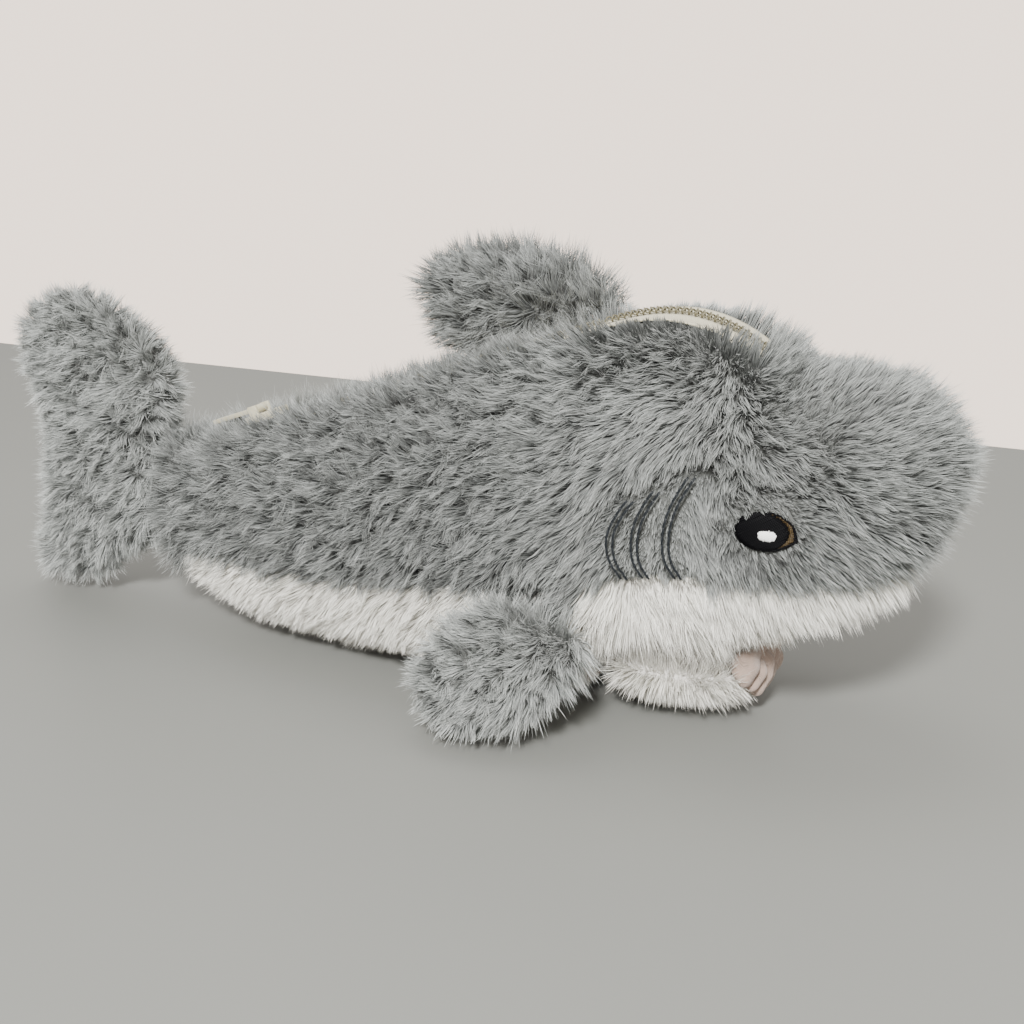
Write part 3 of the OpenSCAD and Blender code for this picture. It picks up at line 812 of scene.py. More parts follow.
@dataclass
class FurCoat:
    """A coat of pile that grows out of part of a skin."""

    name: str
    skin: bpy.types.Object
    keep: Callable[[Points], np.ndarray]
    comb: Callable[[Points, Points], Points]
    pile: Pile
    seed: int
    guard: Guard | None = None
    most: int = 66000

    def build(self, material: bpy.types.Material) -> bpy.types.Object:
        """Grows the coat.

        Args:
            material: The pile's material.

        Returns:
            The new piece: one mesh of flat, tapered fibres.
        """
        rng = np.random.default_rng(self.seed)
        fibres = self.grow(rng, *self.sow(rng))
        return self.mesh_of(fibres, rng, material)

    def sow(self, rng: np.random.Generator) -> tuple[Points, Points, np.ndarray]:
        """Chooses the roots.

        Args:
            rng: The coat's random source.

        Returns:
            The places of the roots, the skin's normals there, and each fibre's share of full length.
        """
        mesh = self.skin.data
        mesh.calc_loop_triangles()
        count = len(mesh.loop_triangles)
        corners = np.empty(count * 3, np.int32)
        mesh.loop_triangles.foreach_get("vertices", corners)
        corners = corners.reshape(-1, 3)
        places, normals = vertex_array(mesh), normal_array(mesh)
        a, b, c = (places[corners[:, i]] for i in range(3))
        area = np.linalg.norm(np.cross(b - a, c - a), axis=1) / 2
        kept = self.keep((a + b + c) / 3)
        area = np.where(kept, area, 0)
        wanted = int(min(self.most, area.sum() / MM**2 * self.pile.per_mm2))
        chosen = rng.choice(count, size=wanted, p=area / area.sum())
        r1, r2 = np.sqrt(rng.random(wanted)), rng.random(wanted)
        share = np.stack([1 - r1, r1 * (1 - r2), r1 * r2], axis=1)
        spot = np.einsum("ij,ijk->ik", share, places[corners[chosen]])
        out = unit(np.einsum("ij,ijk->ik", share, normals[corners[chosen]]))
        if self.guard is None:
            return spot, out, np.ones(wanted)
        scale = self.guard(spot, out)
        alive = scale > 0.06
        return spot[alive], out[alive], scale[alive]

    def lay(self, p: Points, n: Points, rng: np.random.Generator) -> tuple[Points, Points]:
        """Directions of fibres at their root and at their tip.

        Args:
            p: Root places.
            n: Skin normals.
            rng: The coat's random source.

        Returns:
            Unit vectors at the root and at the tip.
        """
        pile = self.pile
        way = self.comb(p, n)
        way = way - n * np.sum(way * n, axis=1)[:, None]
        pull = np.clip(np.linalg.norm(way, axis=1), 0.12, 1)
        way = unit(way)
        side = np.cross(n, way)
        front = ease(0, 60 * MM, p[:, 0])
        turn = np.radians(pile.swirl) * (
            0.7 * Ripple(36 * MM, 1)(p)
            + (1.25 - 0.95 * front) * Ripple(10 * MM, 2)(p)
            + (1.35 - 0.95 * front) * Ripple(4 * MM, 8)(p)
        ) + rng.normal(0, pile.stray, len(p))
        way = way * np.cos(turn)[:, None] + side * np.sin(turn)[:, None]
        tilt = np.radians(pile.lean + pile.combed * front) * (
            1 + 0.35 * Ripple(12 * MM, 3)(p) + (0.55 - 0.3 * front) * Ripple(3.5 * MM, 9)(p)
        )
        tilt = np.clip(tilt * pull + rng.normal(0, pile.stray, len(p)), -0.3, 1.35)
        end = np.clip(tilt + np.radians(pile.droop) * (1 + front) * pull, -0.4, 1.5)
        start = n * np.cos(tilt * 0.7)[:, None] + way * np.sin(tilt * 0.7)[:, None]
        tip = n * np.cos(end)[:, None] + way * np.sin(end)[:, None]
        ruffled = np.stack([Ripple(3.6 * MM, seed)(p) for seed in (21, 22, 23)], 1)
        ruffled = ruffled * (pile.ruffle * (1.15 - 0.85 * front))[:, None]
        return unit(start + ruffled * 0.6), unit(tip + ruffled)

    def grow(self, rng: np.random.Generator, p: Points, n: Points, share: np.ndarray) -> dict[str, Points]:
        """Shapes every fibre and gathers their tips into tufts.

        Args:
            rng: The coat's random source.
            p: Root places.
            n: Skin normals.
            share: Each fibre's share of full length.

        Returns:
            Arrays of the fibres' roots, middles, tips, normals, widths and how much of their painted root
            shade is left out.
        """
        pile = self.pile
        start, end = self.lay(p, n, rng)
        length = pile.length * share * (
            0.92 + 0.12 * Ripple(9 * MM, 4)(p) + 0.08 * ease(0, 60 * MM, p[:, 0])
        ) * np.clip(rng.normal(1, pile.uneven, len(p)), 0.45, 1.5)
        middle = p + start * (length * 0.5)[:, None]
        tip = middle + unit(start * 0.35 + end) * (length * 0.5)[:, None]
        tufts = max(8, int(len(p) / pile.per_mm2 / (pile.tuft / MM) ** 2 * 1.3))
        heads = rng.choice(len(p), size=min(tufts, len(p)), replace=False)
        tree = kdtree.KDTree(len(heads))
        for i, k in enumerate(heads):
            tree.insert(p[k], i)
        tree.balance()
        own = heads[np.fromiter((tree.find(q)[1] for q in p), np.int64, len(p))]
        reach = length / np.maximum(length[own], 1e-6)
        goal = p[own] + (tip[own] - p[own]) * reach[:, None]
        knee = p[own] + (middle[own] - p[own]) * reach[:, None]
        strength = pile.gather * rng.uniform(0.45, 1.0, len(p))
        strength = np.where(rng.random(len(p)) < 0.2, 0.12, strength)[:, None]
        tip = tip + (goal - tip) * strength
        middle = middle + (knee - middle) * strength * 0.45
        for part in (middle, tip):
            part[:, 2] = np.maximum(part[:, 2], FLOOR_GAP + rng.random(len(p)) * 0.5 * MM)
        width = pile.width * rng.uniform(0.65, 1.25, len(p))
        # Part of the painted root shade is left out towards the head and high on the back.
        pale = 0.24 * ease(22 * MM, 66 * MM, p[:, 0])
        pale = pale + 0.22 * ease(14 * MM, 40 * MM, p[:, 0]) * ease(58 * MM, 72 * MM, p[:, 2])
        return {
            "root": p - n * 0.25 * MM, "middle": middle, "tip": tip, "normal": n, "width": width,
            "pale": pale,
        }

    def mesh_of(
        self, f: dict[str, Points], rng: np.random.Generator, material: bpy.types.Material
    ) -> bpy.types.Object:
        """Writes the fibres as one mesh of tapered strips, with their length along the fibre map.

        Args:
            f: The fibres' arrays.
            rng: The coat's random source.
            material: The pile's material.

        Returns:
            The new piece.
        """
        count = len(f["root"])
        run = unit(f["tip"] - f["root"])
        flat = unit(np.cross(run, f["normal"]) + 1e-9)
        over = np.cross(flat, run)
        roll = rng.uniform(-0.9, 0.9, count)[:, None]
        flat = flat * np.cos(roll) + over * np.sin(roll)
        half = f["width"][:, None]
        v = np.empty((count, 5, 3), np.float32)
        v[:, 0], v[:, 1] = f["root"] - flat * half, f["root"] + flat * half
        v[:, 2], v[:, 3] = f["middle"] - flat * half * 0.85, f["middle"] + flat * half * 0.85
        v[:, 4] = f["tip"]
        mesh = bpy.data.meshes.new(self.name)
        mesh.vertices.add(count * 5)
        mesh.vertices.foreach_set("co", v.ravel())
        first = (np.arange(count, dtype=np.int32) * 5)[:, None]
        mesh.loops.add(count * 7)
        mesh.loops.foreach_set(
            "vertex_index", (first + np.array([0, 1, 3, 2, 2, 3, 4], np.int32)).ravel()
        )
        mesh.polygons.add(count * 2)
        starts = (np.arange(count, dtype=np.int32) * 7)[:, None] + np.array([0, 4], np.int32)
        mesh.polygons.foreach_set("loop_start", starts.ravel())
        mesh.update(calc_edges=True)
        lone = rng.random(count)
        uv = np.empty((count, 7, 2), np.float32)
        uv[:, :, 0] = lone[:, None]
        # The fibre map's second coordinate sets the painted root shade and tip light; a root starts partway
        # up it where painted shade is left out.
        pale = f["pale"][:, None]
        uv[:, :, 1] = pale + (1 - pale) * np.array([0, 0, 0.5, 0.5, 0.5, 0.5, 1])
        layer = mesh.uv_layers.new(name="fibre")
        layer.data.foreach_set("uv", uv.ravel())
        mesh.materials.append(material)
        piece = bpy.data.objects.new(self.name, mesh)
        bpy.context.scene.collection.objects.link(piece)
        return piece


# ---------------------------------------------------------------- parts of the shark


class Side(Enum):
    """The shark's right is towards -Y."""

    RIGHT = -1
    LEFT = 1

    @property
    def label(self) -> str:
        """The side's word in piece and node names."""
        return self.name.lower()


@dataclass(frozen=True)
class Path2:
    """A line through given points, as height over x, in millimetres."""

    points: tuple[tuple[float, float], ...]

    def __call__(self, x: Points | float) -> Points:
        """Height at x, both in metres."""
        xs, zs = np.array(self.points).T * MM
        return np.interp(x, xs, zs)


SEAM = Path2((
    (-71.5, 12.4), (-66, 15), (-60, 20), (-48, 20.4), (-36, 20.2), (-16, 21.4), (9, 24.4),
    (30, 27.5), (44, 30), (52, 32.4), (60, 34.4), (70, 35.2), (84, 36), (96, 36.2), (105, 37),
    (110, 41), (114, 46.4), (118, 57),
))
GILLS = (
    ("front", ((67.9, 58.2), (64.8, 52.6), (63.4, 46.6), (63.7, 41.4), (66.1, 37.4))),
    ("middle", ((61.2, 54.8), (58.4, 50), (57.1, 45), (57.3, 40.4), (59.5, 36.6))),
    ("rear", ((56, 52.4), (53.4, 48.4), (52, 44.4), (52.2, 40.2), (55, 35.8))),
)


def along(points: Points, step: float) -> Points:
    """Points every step along a smoothed polyline.

    Args:
        points: The polyline's corners, one a row.
        step: Distance between the points returned.

    Returns:
        The spaced points.
    """
    for _ in range(3):
        q = points[:-1] * 0.75 + points[1:] * 0.25
        r = points[:-1] * 0.25 + points[1:] * 0.75
        cut = np.stack([q, r], axis=1).reshape(-1, points.shape[1])
        points = np.vstack([points[:1], cut, points[-1:]])
    run = np.concatenate([[0], np.cumsum(np.linalg.norm(np.diff(points, axis=0), axis=1))])
    wanted = np.linspace(0, run[-1], max(2, round(run[-1] / step) + 1))
    return np.stack([np.interp(wanted, run, column) for column in points.T], axis=1)


def stitch_gap(
    x: Points, z: Points, points: Sequence[tuple[float, float]], shift: float, step: float
) -> np.ndarray:
    """Distances of places on a flank from one line of gill stitches.

    Args:
        x: Places along the body.
        z: Their heights.
        points: Corners of the line, in millimetres.
        shift: Move of the line along the body.
        step: Spacing of the points that are measured to.

    Returns:
        One distance for each place.
    """
    line = along(np.array(points) * MM + np.array([shift, 0]), step)
    return np.min(np.hypot(x[:, None] - line[:, 0], z[:, None] - line[:, 1]), axis=1)


def add_thread(
    bm: bmesh.types.BMesh, line: Sequence[Vector], radius: float, sides: int = 5, flat: float = 1.0
) -> None:
    """Adds one stitch: a short tube along the line with closed, narrowed ends.

    Args:
        bm: Mesh that takes the stitch.
        line: Points along the stitch.
        radius: Half the thread's width.
        sides: Corners of its section.
        flat: Height of the section as a share of its width.
    """
    rings = []
    for i, at in enumerate(line):
        way = (line[min(i + 1, len(line) - 1)] - line[max(i - 1, 0)]).normalized()
        across = way.cross(Vector((0, 1, 0)))
        across = across.normalized() if across.length > 1e-6 else Vector((1, 0, 0))
        over = across.cross(way)
        r = radius * (0.45 if i in (0, len(line) - 1) else 1)
        rings.append([
            bm.verts.new(
                at + across * r * math.cos(2 * math.pi * k / sides)
                + over * r * flat * math.sin(2 * math.pi * k / sides)
            )
            for k in range(sides)
        ])
    for a, b in zip(rings, rings[1:]):
        for k in range(sides):
            j = (k + 1) % sides
            bm.faces.new((a[k], a[j], b[j], b[k]))
    bm.faces.new(rings[0][::-1])
    bm.faces.new(rings[-1])


class Shark:
    """Everything the sub-assemblies share: the palette and the frame's outside."""

    def __init__(self) -> None:
        """Reads the frame's outside."""
        self.paint = Palette()
        self.flanks = {s: cad_bvh(f"flank_{s.label}") for s in Side}

    def surface(self, side: Side, x: float, z: float, off: float) -> Vector:
        """A point off the flank's outside, at x and z.

        Args:
            side: Which flank.
            x: Place along the body.
            z: Height.
            off: Distance outwards from the flank.
        """
        start = Vector((x, side.value * 0.1, z))
        hit, normal, *_ = self.flanks[side].ray_cast(start, Vector((0, -side.value, 0)))
        if hit is None:
            hit, normal, *_ = self.flanks[side].find_nearest(Vector((x, side.value * 0.03, z)))
        if normal.y * side.value < 0:
            normal = -normal
        return hit + normal * off

    def finish(
        self, piece: bpy.types.Object, body: str, slot: Slot, finish: object | None = None,
        replaces: Sequence[str] = (), fill: float | None = None,
    ) -> bpy.types.Object:
        """Gives a piece its material, hangs it on its body and reports it.

        Args:
            piece: The finished object.
            body: Frame body that it rides on.
            slot: The record's slot for its finish; not used.
            finish: The finish, when the piece has none yet.
            replaces: Frame nodes that it stands for.
            fill: How full it is, for a padded piece; not used.
        """
        if finish is not None:
            piece.data.materials.clear()
            piece.data.materials.append(self.paint(finish))
        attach(piece, body)
        if replaces:
            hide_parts(*replaces)
        log.info("%s rides on %s, %d faces", piece.name, body, len(piece.data.polygons))
        return piece


@dataclass
class Eye:
    """One embroidered eye."""

    shark: Shark
    side: Side
    pitch: float = 0.26 * MM
    thread: float = 0.17 * MM

    def centre(self, part: str) -> tuple[float, float, float, float]:
        """Middle and half sizes of one of the eye's patches, in x and z."""
        (x0, _, z0), (x1, _, z1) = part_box(f"eye_{self.side.label}_{part}")
        return (x0 + x1) / 2, (z0 + z1) / 2, (x1 - x0) / 2, (z1 - z0) / 2

    def line(self, a: tuple[float, float], b: tuple[float, float], off: float, dome: float) -> list[Vector]:
        """Points of one stitch over the flank, crowned in the middle."""
        spots = []
        for t in (0, 0.12, 0.37, 0.63, 0.88, 1):
            x, z = a[0] + (b[0] - a[0]) * t, a[1] + (b[1] - a[1]) * t
            lift = off + dome * math.sin(math.pi * (0.08 + 0.84 * t))
            spots.append(self.shark.surface(self.side, x, z, lift))
        return spots

    def patch(
        self, name: str, part: str, turn: float, off: float, dome: float, finish: ThreadFinish,
        slot: Slot, square: float = 2.0, shift: tuple[float, float] = (0, 0), scale: float = 1.0,
    ) -> None:
        """A patch of parallel satin stitches.

        Args:
            name: Last word of the piece's name.
            part: The frame's patch that it stands for.
            turn: Angle of the stitches, in radians.
            off: Height of the stitches' ends over the flank.
            dome: Extra height in their middle.
            finish: Thread finish.
            slot: The record's slot.
            square: 2 for an ellipse, more for a squarer outline.
            shift: Move of the centre.
            scale: Size against the frame's patch.
        """
        rng = np.random.default_rng(11 + len(name))
        cx, cz, rx, rz = self.centre(part)
        cx, cz, rx, rz = cx + shift[0], cz + shift[1], rx * scale, rz * scale
        bm = bmesh.new()
        c, s = math.cos(turn), math.sin(turn)
        reach = max(rx, rz)
        for layer in range(2):
            level = -reach + self.pitch * (0.5 + 0.5 * layer)
            while level < reach:
                inside = [
                    t for t in np.linspace(-reach * 1.2, reach * 1.2, 121)
                    if abs((t * c - level * s) / rx) ** square + abs((t * s + level * c) / rz) ** square < 1
                ]
                if len(inside) > 3:
                    t0, t1 = inside[0] + rng.normal(0, 0.09) * MM, inside[-1] + rng.normal(0, 0.09) * MM
                    lean = rng.normal(0, 0.05) * MM
                    a = (cx + t0 * c - (level + lean) * s, cz + t0 * s + (level + lean) * c)
                    b = (cx + t1 * c - (level - lean) * s, cz + t1 * s + (level - lean) * c)
                    crown = dome * math.sqrt(max(0.0, 1 - (level / reach) ** 2))
                    high = off + layer * 0.05 * MM + rng.uniform(0, 0.05) * MM
                    add_thread(bm, self.line(a, b, high, crown), self.thread, 5, 0.8)
                level += self.pitch * rng.uniform(0.9, 1.1)
        self.done(bm, name, finish, slot, (f"eye_{self.side.label}_{part}",))

    def ring(
        self, name: str, inner: float, outer: float, off: float, finish: ThreadFinish, slot: Slot,
        span: tuple[float, float] = (0, 360), replaces: Sequence[str] = (), corner: float = 0.0,
    ) -> None:
        """A border of short stitches across the eye's edge.

        Args:
            name: Last word of the piece's name.
            inner: Inner end of the stitches, as a share of the rim's half size.
            outer: Their outer end.
            off: Height over the flank.
            finish: Thread finish.
            slot: The record's slot.
            span: Angles that the border covers, in degrees from the nose, upwards.
            replaces: Frame nodes that it stands for.
            corner: How far the border draws out to a point at the front, below the middle.
        """
        rng = np.random.default_rng(31 + len(name))
        cx, cz, rx, rz = self.centre("rim")
        bm = bmesh.new()
        for angle in np.arange(span[0], span[1], 2.1):
            a = math.radians(angle + rng.normal(0, 0.6))
            point = corner * math.exp(-(((math.degrees(a) % 360 - 336) / 13) ** 2))
            r0, r1 = inner + point * 0.6 + rng.normal(0, 0.02), outer + point + rng.normal(0, 0.02)
            skew = 0.10
            ends = [
                (cx + rx * r * math.cos(a + k), cz + rz * r * math.sin(a + k))
                for r, k in ((r0, 0.0), (r1, skew))
            ]
            stitch = self.line(*ends, off + rng.uniform(0, 0.06) * MM, 0.12 * MM)
            add_thread(bm, stitch, self.thread, 5, 0.8)
        self.done(bm, name, finish, slot, replaces)

    def done(
        self, bm: bmesh.types.BMesh, name: str, finish: ThreadFinish, slot: Slot, replaces: Sequence[str]
    ) -> None:
        """Turns stitches into a piece, with its finish, on the pouch."""
        bmesh.ops.recalc_face_normals(bm, faces=bm.faces)
        piece = new_object(f"eye_{self.side.label}_{name}_stitches", bm)
        self.shark.finish(piece, "pouch", slot, finish, replaces)

    def build(self) -> None:
        """Sews the eye."""
        self.ring(
            "iris", 0.76, 0.95, 0.10 * MM, BROWN_THREAD, Slot.BROWN_THREAD, (-62, 75),
            replaces=(f"eye_{self.side.label}_rim",), corner=0.10,
        )
        self.ring(
            "outline", 0.93, 1.01, 0.12 * MM, BLACK_THREAD, Slot.BLACK_THREAD, corner=0.15
        )
        self.patch(
            "pupil", "pupil", 0.5, 0.22 * MM, 0.45 * MM, BLACK_THREAD, Slot.BLACK_THREAD,
            shift=(0.10 * MM, 0), scale=1.15,
        )
        self.patch(
            "glint", "glint", 1.35, 0.80 * MM, 0.22 * MM, WHITE_THREAD, Slot.WHITE_THREAD, square=3.0,
        )


@dataclass
class Gills:
    """The three double rows of stitching behind one eye."""

    shark: Shark
    side: Side
    stitch: float = 1.9 * MM
    radius: float = 0.23 * MM
    row_gap: float = 1.3 * MM
    off: float = 0.45 * MM

    def build(self) -> None:
        """Sews the rows."""
        for name, points in GILLS:
            rng = np.random.default_rng(70 + len(name))
            bm = bmesh.new()
            for row in (0.0, self.row_gap):
                line = np.array(points) * MM + np.array([row, 0])
                spots = along(line, self.stitch)
                for a, b in zip(spots, spots[1:]):
                    way = (b - a) / np.linalg.norm(b - a)
                    out = np.array([way[1], -way[0]]) * rng.normal(0.05, 0.03) * MM
                    start, stop = a - way * 0.28 * MM - out, b + way * 0.18 * MM + out
                    stitch = []
                    for t in (0, 0.15, 0.5, 0.85, 1):
                        x, z = start + (stop - start) * t
                        lift = self.off + 0.22 * MM * math.sin(math.pi * t)
                        stitch.append(self.shark.surface(self.side, x, z, lift))
                    for strand in (-0.5, 0.5):
                        shift = Vector((out[0], 0, out[1])).normalized() * strand * self.radius
                        add_thread(bm, [p + shift for p in stitch], self.radius * 0.62, 6)
            bmesh.ops.recalc_face_normals(bm, faces=bm.faces)
            piece = new_object(f"gill_{self.side.label}_{name}_stitches", bm)
            self.shark.finish(
                piece, "pouch", Slot.BLACK_THREAD, GREY_THREAD, (f"gill_{self.side.label}_{name}",)
            )


class ZipPath:
    """Where the zip runs: a straight climb up the back, then over the head."""

    start, split, end = -50 * MM, 41 * MM, 76 * MM
    crown = Path2(((41, 82), (47, 84), (53, 85.3), (59, 85.5), (65, 84.4), (71, 82), (76, 78.8)))

    def __init__(self) -> None:
        """Measures the path."""
        self.x = np.linspace(self.start, self.end, 1500)
        z = np.where(
            self.x <= self.split,
            82 * MM + (self.x - self.split) * math.tan(math.radians(20)),
            self.crown(self.x),
        )
        window = np.ones(61) / 61
        smooth = np.convolve(np.pad(z, 30, mode="reflect", reflect_type="odd"), window, "valid")
        self.z = np.where(self.x < self.split - 1 * MM, z, smooth)
        step = np.hypot(np.diff(self.x), np.diff(self.z))
        self.s = np.concatenate([[0], np.cumsum(step)])
        self.split_s = float(np.interp(self.split, self.x, self.s))
        self.slope = np.gradient(self.z, self.x)

    def at(self, s: float, y: float, h: float) -> Vector:
        """The point at s along the path, y across it and h above the tape's top."""
        x, z, k = (float(np.interp(s, self.s, v)) for v in (self.x, self.z, self.slope))
        long = math.hypot(1, k)
        return Vector((x - h * k / long, y, z + h / long))


@dataclass
class Zip:
    """Tapes, coils, slider, pull and stops."""

    shark: Shark
    path: ZipPath = field(default_factory=ZipPath)
    pitch: float = 1.4 * MM
    wire: float = 0.21 * MM
    coil_half_width: float = 0.78 * MM
    coil_half_height: float = 0.52 * MM
    edge: float = 7.3 * MM
    tape_thickness: float = 0.42 * MM
    tape_inner: float = 0.25 * MM
    tuck: float = 0.8 * MM
    joint_gap: float = 0.3 * MM
    spun: float = 0.7 * MM

    def stretch(self, front: bool) -> tuple[float, float]:
        """Start and end of the straight or the front stretch."""
        if front:
            return self.path.split_s + self.joint_gap, self.path.s[-1]
        return 0.0, self.path.split_s - self.joint_gap

    def tape(self, side: Side, front: bool) -> None:
        """A woven tape: a thin strip with a raised cord along its inner edge."""
        s0, s1 = self.stretch(front)
        steps = round((s1 - s0) / (0.8 * MM))
        bm = bmesh.new()
        bmesh.ops.create_grid(bm, x_segments=steps, y_segments=12, size=0.5)
        for v in bm.verts:
            across = v.co.y + 0.5
            y = self.tape_inner + (self.edge + self.tuck - self.tape_inner) * across
            dip = -0.30 * MM * math.sin(math.pi * across) - 0.05 * MM
            cord = 0.12 * MM * math.exp(-(((y - 2.1 * MM) / (0.5 * MM)) ** 2))
            v.co = self.path.at(s0 + (s1 - s0) * (v.co.x + 0.5), side.value * y, dip + cord)
        bmesh.ops.recalc_face_normals(bm, faces=bm.faces)
        if sum(f.normal.z for f in bm.faces) < 0:
            bmesh.ops.reverse_faces(bm, faces=bm.faces)
        bmesh.ops.solidify(bm, geom=bm.faces, thickness=self.tape_thickness)
        bmesh.ops.recalc_face_normals(bm, faces=bm.faces)
        part = "front_tape" if front else "tape"
        body = "pouch" if front else f"zip_lip_{side.label}"
        piece = new_object(f"woven_{part}_{side.label}", bm)
        self.shark.finish(
            piece, body, Slot.ZIP_TAPE, TAPE_CLOTH, (f"zip_{part}_{side.label}",)
        )

    def coil(self, side: Side, front: bool) -> None:
        """One side's nylon coil, with the row of stitches that holds it to the tape."""
        s0, s1 = self.stretch(front)
        turns = int((s1 - s0 - 0.8 * MM) / self.pitch)
        bm = bmesh.new()
        ring = bmesh.ops.create_circle(bm, cap_ends=False, segments=6, radius=self.wire)["verts"]
        for v in ring:
            v.co = Vector((v.co.x, self.spun + v.co.y, 0))
        per_turn = 12
        bmesh.ops.spin(
            bm, geom=[*ring, *{e for v in ring for e in v.link_edges}], cent=(0, 0, 0),
            axis=(1, 0, 0), dvec=(self.pitch / per_turn, 0, 0), angle=2 * math.pi * turns,
            steps=turns * per_turn, use_merge=False, use_duplicate=False,
        )
        bmesh.ops.holes_fill(bm, edges=[e for e in bm.edges if e.is_boundary], sides=0)
        offset = 0.6 * MM + (self.pitch / 2 if side is Side.LEFT else 0)
        wide, high = self.coil_half_width / self.spun, self.coil_half_height / self.spun
        for v in bm.verts:
            x, y, z = v.co
            v.co = self.path.at(
                min(s0 + offset + x, s1), side.value * (0.60 * MM + y * wide), 0.66 * MM + z * high
            )
        wire = set(bm.faces)
        bmesh.ops.recalc_face_normals(bm, faces=list(wire))
        if bm.calc_volume(signed=True) < 0:
            bmesh.ops.reverse_faces(bm, faces=list(wire))
        for i in range(turns):
            s = s0 + offset + i * self.pitch
            line = [
                self.path.at(s + t, side.value * 1.5 * MM, h)
                for t, h in (
                    (-0.1 * MM, 0.10 * MM), (0.2 * MM, 0.45 * MM), (0.6 * MM, 0.58 * MM),
                    (1.0 * MM, 0.45 * MM), (1.3 * MM, 0.10 * MM),
                )
            ]
            add_thread(bm, line, 0.12 * MM)
        bmesh.ops.recalc_face_normals(bm, faces=[f for f in bm.faces if f not in wire])
        part = "front_coil" if front else "coil"
        body = "pouch" if front else f"zip_lip_{side.label}"
        piece = new_object(f"nylon_{part}_{side.label}", bm)
        self.shark.finish(
            piece, body, Slot.ZIP_COIL, COIL_NYLON, (f"zip_{part}_{side.label}",)
        )

    def softened(self, node: str, body: str, slot: Slot, finish: object, width: float) -> None:
        """A frame node's own shape with its sharp edges rounded over."""
        bm = join_nodes(node)
        bmesh.ops.dissolve_limit(
            bm, angle_limit=math.radians(1), verts=bm.verts, edges=bm.edges
        )
        sharp = [e for e in bm.edges if e.is_manifold and e.calc_face_angle(0) > math.radians(35)]
        bmesh.ops.bevel(
            bm, geom=sharp, offset=width, offset_type="OFFSET", segments=2, profile=0.5,
            affect="EDGES", clamp_overlap=True, material=-1,
        )
        bmesh.ops.recalc_face_normals(bm, faces=bm.faces)
        piece = new_object(f"{node}_rounded", bm)
        piece.data.set_sharp_from_angle(angle=math.radians(40))
        self.shark.finish(piece, body, slot, finish, (node,))

    def build(self) -> None:
        """Makes the zip."""
        for side in Side:
            for front in (False, True):
                self.tape(side, front)
                self.coil(side, front)
        self.softened("zip_slider", "slider", Slot.ZIP_SLIDER, SLIDER_PAINT, 0.28 * MM)
        self.softened("zip_pull", "pull", Slot.ZIP_SLIDER, SLIDER_PAINT, 0.22 * MM)
        self.softened("zip_front_stop", "pouch", Slot.ZIP_COIL, COIL_NYLON, 0.2 * MM)
        self.softened("zip_rear_stop", "pouch", Slot.ZIP_COIL, COIL_NYLON, 0.2 * MM)


@dataclass
class Lining:
    """Crumpled cloth inside the mouth and the bag."""

    shark: Shark

    def crumple(
        self, name: str, nodes: tuple[str, ...], body: str, voxel: float, big: float, small: float,
        narrow: float = 1.0, share: float = 1.0,
    ) -> None:
        """Replaces a plain lining solid with creased cloth.

        Args:
            name: The new piece's name.
            nodes: Frame nodes that it stands for.
            body: Body that it rides on.
            voxel: Voxel size of the remesh.
            big: Height of the broad creases.
            small: Height of the fine ones.
            narrow: Width against the frame's solid, so that the pile covers its edges.
            share: Share of the remeshed faces that is kept.
        """
        piece = voxel_copy(name, nodes, voxel)
        if share < 1:
            piece.modifiers.new("thin", "DECIMATE").ratio = share
            apply_modifiers(piece)
        p, n = vertex_array(piece.data), normal_array(piece.data)
        rise = big * Ripple(13 * MM, 5)(p) + small * Ripple(4.5 * MM, 6)(p)
        p = p + n * rise[:, None]
        p[:, 1] *= narrow
        p[:, 0] = p[:, 0].max() - (p[:, 0].max() - p[:, 0]) * (0.5 + 0.5 * narrow)
        set_vertices(piece.data, p)
        piece.data.shade_smooth()
        self.shark.finish(piece, body, Slot.LINING, LINING_CLOTH, nodes)

    def fold(self) -> None:
        """The gathered lining that bulges out between the jaw and the snout."""
        bm = bmesh.new()
        bmesh.ops.create_icosphere(bm, subdivisions=6, radius=1)
        p = np.array([v.co for v in bm.verts])
        centre = np.array([77.0, 0, 12.4]) * MM
        size = np.array([4.4, 11.0, 6.6]) * MM
        ridge = Ripple(7.5 * MM, 14)
        fine = Ripple(3.0 * MM, 15)
        body = centre + p * size
        fold = np.abs(ridge(body * np.array([1.0, 1.0, 0.55]))) ** 0.7
        rise = 2.2 * MM * (fold - 0.55) + 0.35 * MM * fine(body)
        body = body + p * rise[:, None]
        for v, q in zip(bm.verts, body):
            v.co = q
        relax(bm, 2, 0.4)
        bmesh.ops.recalc_face_normals(bm, faces=bm.faces)
        piece = new_object("mouth_lining_fold", bm)
        self.shark.finish(piece, "jaw", Slot.LINING, LINING_CLOTH, fill=0.3)
        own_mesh(piece)

    def build(self) -> None:
        """Makes the linings."""
        self.crumple("bag_lining", ("pouch_lining",), "pouch", 0.5 * MM, 0.0, 0.0, share=0.42)
        self.crumple(
            "mouth_roof_lining", ("mouth_lining_upper",), "pouch", 0.45 * MM, 0.12 * MM, 0.08 * MM, 0.78
        )
        self.crumple(
            "mouth_floor_lining", ("mouth_lining_lower",), "jaw", 0.45 * MM, 0.12 * MM, 0.08 * MM, 0.82
        )
        self.fold()


